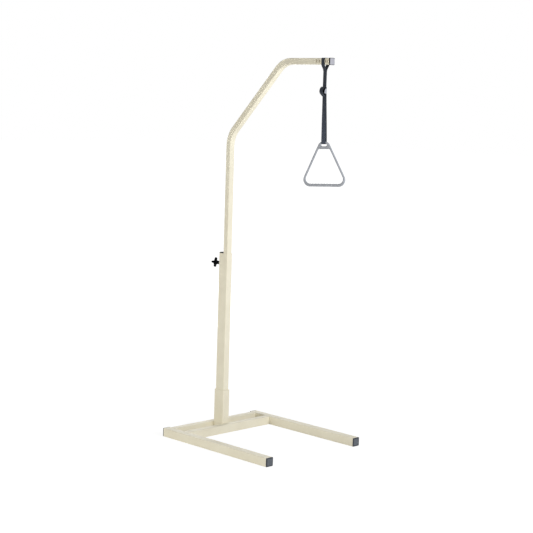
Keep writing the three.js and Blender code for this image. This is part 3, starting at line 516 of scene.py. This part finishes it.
WEB_WIDTH = 25 * MM
WEB_THICK = 1.6 * MM
WEB_HALF = WEB_THICK / 2
FACE_SUNK = 0.05 * MM
SELVEDGE = 0.06 * MM
SELVEDGE_SHARE = 0.2
SELVEDGE_ANGLES = (54, 18, -18, -54)
# The webbing's tone is as given above the upper height and the given times as bright below the lower one, in metres
# above the floor. The rear run has the last value's share of that, painted shade for its lying behind the front run.
PALE_LOW = 1.78
PALE_HIGH = 2.02
PALE_MOST = 1.75
REAR_SHADE = 0.4

strap_low, strap_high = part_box("strap_upper")
frame_low, frame_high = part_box("buckle_frame")
strap_x = (strap_low.x + strap_high.x) / 2


def web_section():
    """Flat faces with a slightly fuller, rounded selvedge on both sides."""
    half = WEB_WIDTH / 2
    across = 12
    top = []
    for i in range(across + 1):
        u = -1 + 2 * i / across
        fuller = SELVEDGE * max(0.0, abs(u) - (1 - SELVEDGE_SHARE)) / SELVEDGE_SHARE
        top.append((u * (half - WEB_HALF), WEB_HALF - FACE_SUNK + fuller))
    right = [
        (half - WEB_HALF + WEB_HALF * math.cos(a), WEB_HALF * math.sin(a))
        for a in (math.radians(d) for d in SELVEDGE_ANGLES)
    ]
    bottom = [(-u, -v) for u, v in top]
    left = [(-u, -v) for u, v in right]
    return top + right + bottom + left


SECTION = web_section()


def height_tone(height):
    """How many times as bright as its given tone the webbing is at this height: paler lower down."""
    share = (PALE_HIGH - height) / (PALE_HIGH - PALE_LOW)
    return 1 + (PALE_MOST - 1) * min(1.0, max(0.0, share))


def web_piece(name, centres, across, tone_and_shade):
    """A length of webbing, given as its middle, way across and tone at each station, painted shade included where the
    caller gives it.
    """
    points, faces = swept(centres, across, SECTION)
    along = lengths(centres)
    half = WEB_WIDTH / 2
    maps = [(u + half, v) for v in along for u, _ in SECTION]
    made = piece(name, points, faces, webbing, maps)
    layer = made.data.attributes.new("tone_and_shade", "FLOAT", "POINT")
    layer.data.foreach_set("value", [value for value in tone_and_shade for _ in SECTION])
    made.data.set_sharp_from_angle(angle=SHARP_ANGLE)
    return made


def flat_web(name, line):
    """Webbing that follows a line in the YZ plane."""
    centres = [Vector((strap_x, p.x, p.y)) for p in line]
    return web_piece(name, centres, [Vector((1, 0, 0))] * len(line), [height_tone(p.z) for p in centres])


boom_under = BOOM_TOP - 2 * BOOM_HALF
SEAT = 0.3 * MM
BAR_RADIUS = 1.6 * MM
BAR_DROP = 2.4 * MM
LOOP_CORNER = 4.3 * MM
MEET_DROP = 33 * MM
MEET_FLAT = 6 * MM
MEET_EASE = 3 * MM
meet = boom_under - MEET_DROP
bar_y = -WEB_HALF
bar_z = frame_high.z - BAR_DROP
bar_loop = BAR_RADIUS + SEAT + WEB_HALF
bar_outer = bar_loop + WEB_HALF
rear_y = 3.8 * MM
throat_y = -0.6 * MM
run_top = frame_low.z - SEAT


def boom_line():
    """From behind the buckle up the rear layer, over the boom, and down to the sewn bar."""
    side = BOOM_HALF + 2 * SEAT + WEB_HALF
    over = BOOM_TOP + SEAT + WEB_HALF
    corner = LOOP_CORNER
    sewn = bar_z + 4 * bar_outer
    line = [Vector((rear_y, run_top))]
    line += straight(line[-1], (rear_y, bar_z + bar_outer), 8)
    line += bezier(
        line[-1], (rear_y, bar_z + 3 * bar_outer), (WEB_HALF, sewn - 2 * bar_outer), (WEB_HALF, sewn), steps=14,
    )
    line += straight(line[-1], (WEB_HALF, meet - MEET_FLAT), 14)
    line += bezier(line[-1], (WEB_HALF, meet + MEET_EASE), (side / 2, (meet + boom_under) / 2), steps=10)
    line += bezier(line[-1], (side, boom_under - corner), (side, boom_under + corner), steps=12)
    line += straight(line[-1], (side, over - corner), 6)
    line += arc(side - corner, over - corner, corner, 0, 0.5, 8)
    line += straight(line[-1], (corner - side, over), 8)
    line += arc(corner - side, over - corner, corner, 0.5, 1, 8)
    line += straight(line[-1], (-side, boom_under + corner), 6)
    line += bezier(line[-1], (-side, boom_under - corner), (-side / 2, (meet + boom_under) / 2), steps=12)
    line += bezier(line[-1], (-WEB_HALF, meet + MEET_EASE), (-WEB_HALF, meet - MEET_FLAT), steps=10)
    line += straight(line[-1], (-WEB_HALF, sewn), 14)
    line += bezier(line[-1], (-WEB_HALF, bar_z + 2 * bar_outer), (bar_y - bar_loop, bar_z + WEB_THICK), steps=10)
    line += arc(bar_y, bar_z, bar_loop, 0.85, 2.4, 16)
    return line


boom_webbing = flat_web("boom_webbing", boom_line())
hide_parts("strap_over_boom", "strap_upper")
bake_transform(boom_webbing)

GRIP_FORWARD = 10.4 * MM
GRIP_BAR_Z = 1750.75 * MM
LOOP_RADIUS = 9.05 * MM
GRIP_TURN = Quaternion((0, 0, 1), math.radians(20)) @ Quaternion((0, 1, 0), math.radians(-2.5))
grip_bar = Vector((strap_x + GRIP_FORWARD, 0, GRIP_BAR_Z))


def run_stations():
    """Middle, way across and tone at each station: rear run, loop under the grip's bar, front run. The rear run's tone
    carries painted shade, easing out round the loop.
    """
    centres, across, tone_and_shade = [], [], []

    def place(centre, turn, front):
        centres.append(centre)
        across.append(turn @ Vector((1, 0, 0)))
        # Away from the front run the tone is cut by painted shade, easing out round the loop.
        tone_and_shade.append(height_tone(centre.z) * (REAR_SHADE + (1 - REAR_SHADE) * front))

    def held(y, z):
        return grip_bar + GRIP_TURN @ Vector((0, y, z))

    def run(start_y, way, shares):
        start = Vector((strap_x, start_y, run_top))
        end = held(way * LOOP_RADIUS, LOOP_RADIUS)
        for share in shares:
            ease = share * share * (3 - 2 * share)
            place(start.lerp(end, share), Quaternion().slerp(GRIP_TURN, ease), (1 - way) / 2)

    steps, turns = 44, 24
    run(rear_y, 1, [i / steps for i in range(steps + 1)])
    for share in (0.6, 0.2):
        place(held(LOOP_RADIUS, share * LOOP_RADIUS), GRIP_TURN, 0)
    for i in range(1, turns):
        angle = -math.pi * i / turns
        place(held(LOOP_RADIUS * math.cos(angle), LOOP_RADIUS * math.sin(angle)), GRIP_TURN, i / turns)
    for share in (0.2, 0.6):
        place(held(-LOOP_RADIUS, share * LOOP_RADIUS), GRIP_TURN, 1)
    run(throat_y, -1, [1 - i / steps for i in range(steps + 1)])
    return centres, across, tone_and_shade


run_webbing = web_piece("run_webbing", *run_stations())
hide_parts("strap_front_run", "strap_rear_run", "strap_grip_loop")
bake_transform(run_webbing)


TAIL_REACH = 28 * MM
TAIL_ABOVE = 12 * MM
TAIL_BELOW = 16 * MM
TAIL_LEAVES = 10.8 * MM


def tail_line():
    """Up through the throat, out over the buckle and back below it in one open loop."""
    top = frame_high.z + TAIL_ABOVE - WEB_HALF
    bottom = frame_low.z - TAIL_BELOW + WEB_HALF
    front = WEB_HALF - TAIL_REACH
    clear_y = bar_y - bar_outer - SEAT - WEB_THICK
    middle = (top + bottom) / 2
    rise = top - middle
    shoulder = middle + 0.62 * rise
    line = [Vector((throat_y, run_top))]
    line += straight(line[-1], (throat_y, frame_low.z + TAIL_LEAVES), 6)
    line += bezier(
        line[-1], (throat_y, bar_z - 2 * bar_outer), (clear_y, bar_z - 2 * bar_outer), (clear_y, bar_z), steps=14,
    )
    line += straight(line[-1], (clear_y, shoulder), 4)
    line += bezier(
        line[-1], (clear_y, middle + 1.25 * rise), (front, shoulder), (front, middle), steps=20,
    )
    line += bezier(
        line[-1], (front, middle - 0.5 * rise), (0.44 * front, middle - 0.7 * rise),
        (throat_y - 2 * WEB_THICK, bottom), steps=20,
    )
    return line


tail_webbing = flat_web("tail_webbing", tail_line())
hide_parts("strap_tail")
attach(tail_webbing, "strap")


# Stitches: short, slightly sunk threads on both outer faces of the doubled webbing


THREAD_RADIUS = 0.36 * MM
THREAD_SUNK = 0.2 * MM
THREAD_BOW = 0.34 * MM
THREAD_END = 0.45
THREAD_STATIONS = (0.0, 0.12, 0.35, 0.65, 0.88, 1.0)
STITCH = 2.6 * MM
SEAM_HALF = 9 * MM
BOX_CLEAR = 4 * MM
BOX_LONG = 25 * MM
TACK_DROP = 9 * MM
TACK_APART = 11 * MM
TACK_HIGH = 3 * MM
TACK_STITCH = 4 * MM


def add_stitch(points, faces, start, end, out):
    """A thread between two needle holes, bowed out of the webbing and pulled in at its ends."""
    way = (end - start).normalized()
    side = way.cross(out)
    base = len(points)
    sides = 6
    shares = THREAD_STATIONS
    for share in shares:
        bow = math.sin(math.pi * share) ** 0.5 if 0 < share < 1 else 0.0
        centre = start.lerp(end, share) + out * (THREAD_BOW * bow - THREAD_SUNK)
        size = THREAD_RADIUS * (THREAD_END + (1 - THREAD_END) * bow)
        for k in range(sides):
            a = 2 * math.pi * k / sides
            points.append(centre + (side * math.cos(a) + out * math.sin(a)) * size)
    for i in range(len(shares) - 1):
        for k in range(sides):
            n = (k + 1) % sides
            low, high = base + i * sides, base + (i + 1) * sides
            faces.append((low + k, high + k, high + n, low + n))
    faces.append(tuple(base + k for k in range(sides)))
    faces.append(tuple(base + (len(shares) - 1) * sides + k for k in range(sides - 1, -1, -1)))


def seam(points, faces, start, end, way, pitch=STITCH):
    """A row of stitches on the outer face at this way, 1 or -1, between two places (x, z)."""
    out = Vector((0, way, 0))
    surface = way * (WEB_THICK - FACE_SUNK)
    a = Vector((strap_x + start[0], surface, start[1]))
    b = Vector((strap_x + end[0], surface, end[1]))
    count = max(1, round((b - a).length / pitch))
    for i in range(count):
        add_stitch(points, faces, a.lerp(b, (i + 0.1) / count), a.lerp(b, (i + 0.9) / count), out)


def make_stitches():
    """A box with a cross above the buckle, and a bar tack under the boom."""
    points, faces = [], []
    wide = SEAM_HALF
    box_low = bar_z + 4 * bar_outer + BOX_CLEAR
    box_high = box_low + BOX_LONG
    tack_z = strap_high.z - TACK_DROP
    for way in (1, -1):
        corners = [(-wide, box_low), (wide, box_low), (wide, box_high), (-wide, box_high)]
        for start, end in zip(corners, corners[1:] + corners[:1]):
            seam(points, faces, start, end, way)
        seam(points, faces, corners[0], corners[2], way)
        seam(points, faces, corners[1], corners[3], way)
        zigzag = 14
        for row in (0, 1):
            level = tack_z - TACK_APART * row
            for i in range(zigzag):
                x = -wide + 2 * wide * i / zigzag
                step = 2 * wide / zigzag
                start, end = (level, level - TACK_HIGH) if i % 2 else (level - TACK_HIGH, level)
                seam(points, faces, (x, start), (x + step, end), way, pitch=TACK_STITCH)
    made = piece("strap_stitches", points, faces, thread)
    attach(made, "strap")


make_stitches()


# Weld beads where the rails meet the legs and the mast's socket


BEAD_RADIUS = 2.6 * MM
BEAD_RIPPLE = 2.4 * MM
BEAD_CLEAR = 6 * MM
BEAD_VALLEY = 0.86
BEAD_END = 0.55
RINGS_PER_RIPPLE = 4


def add_bead(points, faces, start, end):
    """A rippled bead along a corner, thinner at both ends."""
    start, end = Vector(start), Vector(end)
    way = (end - start).normalized()
    side = way.orthogonal().normalized()
    up = way.cross(side)
    base, sides = len(points), 12
    rings = RINGS_PER_RIPPLE * round((end - start).length / BEAD_RIPPLE)
    for i in range(rings + 1):
        near_end = min(i, rings - i) / RINGS_PER_RIPPLE
        ripple = BEAD_VALLEY + (1 - BEAD_VALLEY) * abs(math.cos(math.pi * i / RINGS_PER_RIPPLE))
        size = BEAD_RADIUS * ripple * min(1.0, BEAD_END + (1 - BEAD_END) * near_end)
        centre = start.lerp(end, i / rings)
        for k in range(sides):
            a = 2 * math.pi * k / sides
            points.append(centre + (side * math.cos(a) + up * math.sin(a)) * size)
    for i in range(rings):
        for k in range(sides):
            n = (k + 1) % sides
            low, high = base + i * sides, base + (i + 1) * sides
            faces.append((low + k, low + n, high + n, high + k))
    faces.append(tuple(base + k for k in range(sides - 1, -1, -1)))
    faces.append(tuple(base + rings * sides + k for k in range(sides)))


LEG_GROOVE = (0.6 * MM, 1.9 * MM)
SOCKET_GROOVE = (1.4 * MM, 1.8 * MM)
SOCKET_CORNER = (1.2 * MM, 1.6 * MM)


def make_welds():
    """Beads up the rails' sides and along the grooves that the tubes' round corners leave on top."""
    points, faces = [], []
    clear = BEAD_CLEAR
    for rail in ("front_rail", "rear_rail"):
        rail_low, rail_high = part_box(rail)
        for way in (1, -1):
            meet_y = way * (LEG_Y - LEG_HALF)
            for x in (rail_low.x, rail_high.x):
                add_bead(points, faces, (x, meet_y, clear), (x, meet_y, rail_high.z - clear))
            groove = (meet_y + way * LEG_GROOVE[0], rail_high.z - LEG_GROOVE[1])
            add_bead(points, faces, (rail_low.x + clear, *groove), (rail_high.x - clear, *groove))
    socket_low, socket_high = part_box("mast_socket")
    rail_top = 2 * LEG_HALF
    for x, way in ((socket_low.x, -1), (socket_high.x, 1)):
        groove_x, groove_z = x + way * SOCKET_GROOVE[0], rail_top - SOCKET_GROOVE[1]
        across = socket_high.y - clear
        add_bead(points, faces, (groove_x, -across, groove_z), (groove_x, across, groove_z))
        for y in (socket_low.y, socket_high.y):
            inside = (x - way * SOCKET_CORNER[0], y - math.copysign(SOCKET_CORNER[1], y))
            add_bead(points, faces, (*inside, clear), (*inside, rail_top - clear))
    made = piece("weld_beads", points, faces, cream)
    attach(made, "base")


make_welds()


# Clamp screw with its thread cut where it shows

boss_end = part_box("clamp_boss")[1].x
screw_low, screw_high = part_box("clamp_screw")
knob_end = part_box("star_knob")[1].x
THREAD_PITCH = 1.25 * MM
THREAD_DEPTH = 0.62 * MM
THREAD_HIDDEN = 5 * MM
FLANK_STEEPNESS = 2.3
FLANK_START = 0.65
SCREW_POINT = 1.2 * MM
SCREW_SHARP = math.radians(40)


def make_screw():
    axis_z = (screw_low.z + screw_high.z) / 2
    radius = (screw_high.z - screw_low.z) / 2
    sides, per_turn = 32, 8
    start, end = knob_end - THREAD_HIDDEN, boss_end
    stations = [(screw_low.x, radius - SCREW_POINT, 0), (screw_low.x + SCREW_POINT, radius, 0)]
    count = round((end - start) / THREAD_PITCH) * per_turn
    for i in range(count + 1):
        fade = min(1.0, i / per_turn, (count - i) / per_turn)
        stations.append((start + (end - start) * i / count, radius, fade))
    stations += [(screw_high.x - SCREW_POINT, radius, 0), (screw_high.x, radius - SCREW_POINT, 0)]
    points = []
    for x, size, fade in stations:
        for k in range(sides):
            share = (x / THREAD_PITCH + k / sides) % 1
            flank = min(1.0, max(0.0, FLANK_STEEPNESS * abs(2 * share - 1) - FLANK_START))
            r = size - fade * THREAD_DEPTH * flank
            a = 2 * math.pi * k / sides
            points.append(Vector((x, r * math.cos(a), axis_z + r * math.sin(a))))
    faces = []
    rings = len(stations)
    for i in range(rings - 1):
        for k in range(sides):
            n = (k + 1) % sides
            faces.append((i * sides + k, i * sides + n, (i + 1) * sides + n, (i + 1) * sides + k))
    faces.append(tuple(range(sides - 1, -1, -1)))
    faces.append(tuple(range((rings - 1) * sides, rings * sides)))
    made = piece("clamp_screw_threaded", points, faces, zinc)
    made.data.set_sharp_from_angle(angle=SCREW_SHARP)
    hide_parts("clamp_screw")
    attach(made, "clamp_knob")


make_screw()


# Grip moulding: the outline in u across and v up, its section rounded towards both faces

GRIP_WIDTH = 246 * MM
GRIP_HEIGHT = 247 * MM
GRIP_DEPTH = 15 * MM
GRIP_SIDE_ANGLE = math.radians(26.3)
GRIP_CORNER = 38 * MM
GRIP_SIDE_THICK = 10 * MM
GRIP_BAR_THICK = 16 * MM
APEX_BAR_THICK = 12.5 * MM
SLOT_SIZE = (34 * MM, 15 * MM)
SLOT_CORNERS = (4.5 * MM, 7 * MM)
SLOT_BAR_THICK = 15 * MM
HOLE_CORNERS = (8 * MM, 26 * MM)
ROUND_DEPTH = 5.5 * MM
ROUND_WIDTH = 4.2 * MM
WAVES = 10
WAVE_DEPTH = 1.4 * MM
WAVE_POINTS = 16
OUTER_STEPS = 28
SLOT_STEPS = 10
HOLE_STEPS = (12, 24)
PARTING_SUNK = 0.12 * MM
PARTING_HALF = 0.22 * MM


def corner_points(before, at, after, radius, steps):
    """Each point of the arc that rounds a corner, with the way out of the arc there."""
    back, ahead = (before - at).normalized(), (after - at).normalized()
    half = math.acos(back.dot(ahead)) / 2
    centre = at + (back + ahead).normalized() * (radius / math.sin(half))
    start = at + back * (radius / math.tan(half)) - centre
    end = at + ahead * (radius / math.tan(half)) - centre
    turn = math.pi - 2 * half
    if start.x * end.y - start.y * end.x < 0:
        turn = -turn
    points = []
    for i in range(steps + 1):
        a = turn * i / steps
        way = Vector((start.x * math.cos(a) - start.y * math.sin(a), start.x * math.sin(a) + start.y * math.cos(a)))
        points.append((centre + way, way.normalized()))
    return points


def rounded_outline(corners, radii, steps):
    points = []
    for i, at in enumerate(corners):
        points += corner_points(corners[i - 1], at, corners[(i + 1) % len(corners)], radii[i], steps)
    return points


def grip_outlines():
    """The outer edge, the slot and the finger hole, as (point, way out of the plastic)."""
    lean = math.tan(GRIP_SIDE_ANGLE)
    half = GRIP_WIDTH / 2 + GRIP_CORNER * (lean + 1 / math.cos(GRIP_SIDE_ANGLE) - 1)
    height = half / lean
    apex = (height - GRIP_HEIGHT) / (1 / math.sin(GRIP_SIDE_ANGLE) - 1)

    def inner(level):
        return half - level * lean - GRIP_SIDE_THICK / math.cos(GRIP_SIDE_ANGLE)

    outer = rounded_outline(
        [Vector((-half, 0)), Vector((half, 0)), Vector((0, height))], [GRIP_CORNER, GRIP_CORNER, apex], OUTER_STEPS,
    )
    slot_top = GRIP_HEIGHT - APEX_BAR_THICK
    slot_floor = slot_top - SLOT_SIZE[1]
    wide = SLOT_SIZE[0] / 2
    slot = rounded_outline(
        [Vector((-wide, slot_floor)), Vector((wide, slot_floor)), Vector((wide, slot_top)), Vector((-wide, slot_top))],
        [SLOT_CORNERS[1], SLOT_CORNERS[1], SLOT_CORNERS[0], SLOT_CORNERS[0]], SLOT_STEPS,
    )
    top = slot_floor - SLOT_BAR_THICK
    low_right, top_right = Vector((inner(GRIP_BAR_THICK), GRIP_BAR_THICK)), Vector((inner(top), top))
    low_left, top_left = Vector((-low_right.x, low_right.y)), Vector((-top_right.x, top_right.y))
    hole = corner_points(low_left, low_right, top_right, HOLE_CORNERS[1], HOLE_STEPS[1])
    hole += corner_points(low_right, top_right, top_left, HOLE_CORNERS[0], HOLE_STEPS[0])
    hole += corner_points(top_right, top_left, low_left, HOLE_CORNERS[0], HOLE_STEPS[0])
    hole += corner_points(top_left, low_left, low_right, HOLE_CORNERS[1], HOLE_STEPS[1])
    start = hole[-1][0].copy()
    samples = WAVES * WAVE_POINTS
    for i in range(1, samples):
        share = i / samples
        rise = (1 - math.cos(2 * math.pi * WAVES * share)) / 2
        hole.append((Vector((start.x * (1 - 2 * share), start.y - WAVE_DEPTH * rise)), Vector((0, -1))))
    inside = [[(point, -way) for point, way in line] for line in (slot, hole)]
    return [outer, *inside]


def make_grip():
    """Rings round each outline, one for each level of the section, and flat faces front and back."""
    steps = 8
    profile = [(0.0, -PARTING_SUNK), (PARTING_HALF, 0.0), (GRIP_DEPTH / 2 - ROUND_DEPTH, 0.0)]
    for i in range(1, steps + 1):
        a = math.pi / 2 * i / steps
        profile.append((GRIP_DEPTH / 2 - ROUND_DEPTH * (1 - math.sin(a)), ROUND_WIDTH * (1 - math.cos(a))))
    levels = [(-depth, inset) for depth, inset in profile[:0:-1]] + profile
    axis_v = GRIP_HEIGHT - APEX_BAR_THICK / 2
    points, faces = [], []
    ends = {0: [], len(levels) - 1: []}
    for line in grip_outlines():
        base, count = len(points), len(line)
        for level, (depth, inset) in enumerate(levels):
            ring = [point - way * inset for point, way in line]
            if level in ends:
                ends[level].append((base + level * count, ring))
            points += [grip_bar + GRIP_TURN @ Vector((p.x, depth, p.y - axis_v)) for p in ring]
        for level in range(len(levels) - 1):
            for k in range(count):
                n = (k + 1) % count
                low, high = base + level * count, base + (level + 1) * count
                faces.append((low + k, high + k, high + n, low + n))
    for level, rings in ends.items():
        numbers = [first + k for first, ring in rings for k in range(len(ring))]
        flat = tessellate_polygon([[Vector((p.x, p.y, 0)) for p in ring] for _, ring in rings])
        for a, b, c in flat:
            faces.append((numbers[a], numbers[b], numbers[c]) if level else (numbers[c], numbers[b], numbers[a]))
    made = piece("grip_moulding", points, faces, grey)
    made.data.set_sharp_from_angle(angle=SHARP_ANGLE)
    weigh(made)
    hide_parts("grip_handle")
    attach(made, "grip")


make_grip()


# Floor, world and lamps


FLOOR_REACH = 40
FLOOR_GREY = (0.92, 0.92, 0.92, 1.0)
FLOOR_GLOW = 0.7
GLOW_PLACES = (0.8, 5.0)
GLOW_STRENGTHS = (1.22, 1.45)
FLOOR_DROP = 0.3 * MM
WORLD_LIGHT = 0.3
WORLD_WHITE = 1.0


def make_floor():
    reach = FLOOR_REACH
    material, kit, shader = new_material("floor_white")
    material.cycles.emission_sampling = "NONE"
    shader.inputs["Base Color"].default_value = FLOOR_GREY
    shader.inputs["Roughness"].default_value = 0.9
    shader.inputs["Specular IOR Level"].default_value = 0.0
    glow = kit.add("ShaderNodeEmission")
    mix = kit.add("ShaderNodeMixShader")
    kit.feed(mix.inputs[0], kit.math("MULTIPLY", kit.seen(), FLOOR_GLOW))
    kit.tree.links.new(shader.outputs[0], mix.inputs[1])
    kit.tree.links.new(glow.outputs[0], mix.inputs[2])
    output = next(n for n in kit.tree.nodes if n.type == "OUTPUT_MATERIAL")
    kit.tree.links.new(mix.outputs[0], output.inputs["Surface"])
    place = kit.add("ShaderNodeVectorMath", operation="LENGTH")
    kit.feed(place.inputs[0], object_place(kit))
    kit.feed(glow.inputs["Strength"], kit.spread(place.outputs["Value"], *GLOW_PLACES, *GLOW_STRENGTHS))
    corners = [(x, y, -FLOOR_DROP) for x, y in ((-reach, -reach), (reach, -reach), (reach, reach), (-reach, reach))]
    piece("floor", corners, [(0, 1, 2, 3)], material, smooth=False)


def make_world():
    world = bpy.data.worlds.new("studio")
    scene.world = world
    world.use_nodes = True
    world.cycles.sampling_method = "NONE"
    tree = world.node_tree
    tree.nodes.clear()
    kit = Nodes(tree)
    output = kit.add("ShaderNodeOutputWorld")
    mix = kit.add("ShaderNodeMixShader")
    kit.feed(mix.inputs[0], kit.seen())
    for strength, socket in ((WORLD_LIGHT, mix.inputs[1]), (WORLD_WHITE, mix.inputs[2])):
        backdrop = kit.add("ShaderNodeBackground")
        backdrop.inputs["Color"].default_value = (*WHITE, 1.0)
        backdrop.inputs["Strength"].default_value = strength
        tree.links.new(backdrop.outputs[0], socket)
    tree.links.new(mix.outputs[0], output.inputs["Surface"])


def make_lamp(name, place, target, size, power, color=WHITE):
    data = bpy.data.lights.new(name, "AREA")
    data.shape = "SQUARE"
    data.size = size
    data.energy = power
    data.color = color
    lamp = bpy.data.objects.new(name, data)
    lamp.location = place
    lamp.visible_camera = False
    lamp.rotation_mode = "QUATERNION"
    lamp.rotation_quaternion = (Vector(target) - Vector(place)).to_track_quat("-Z", "Y")
    scene.collection.objects.link(lamp)


make_floor()
make_world()
make_lamp(
    "front_softbox", place=(3.8, 0.3, 2.1), target=(-0.4, 0, 4.2), size=2.0, power=165, color=(0.97, 0.98, 1.0),
)
make_lamp(
    "side_softbox", place=(-0.8, -5.0, 0.7), target=(-0.3, 0, -0.9), size=1.3, power=88, color=(1.0, 0.985, 0.93),
)
make_lamp("rear_softbox", place=(-5.5, 3.6, 1.8), target=(0, 0, 1.2), size=4.0, power=150)
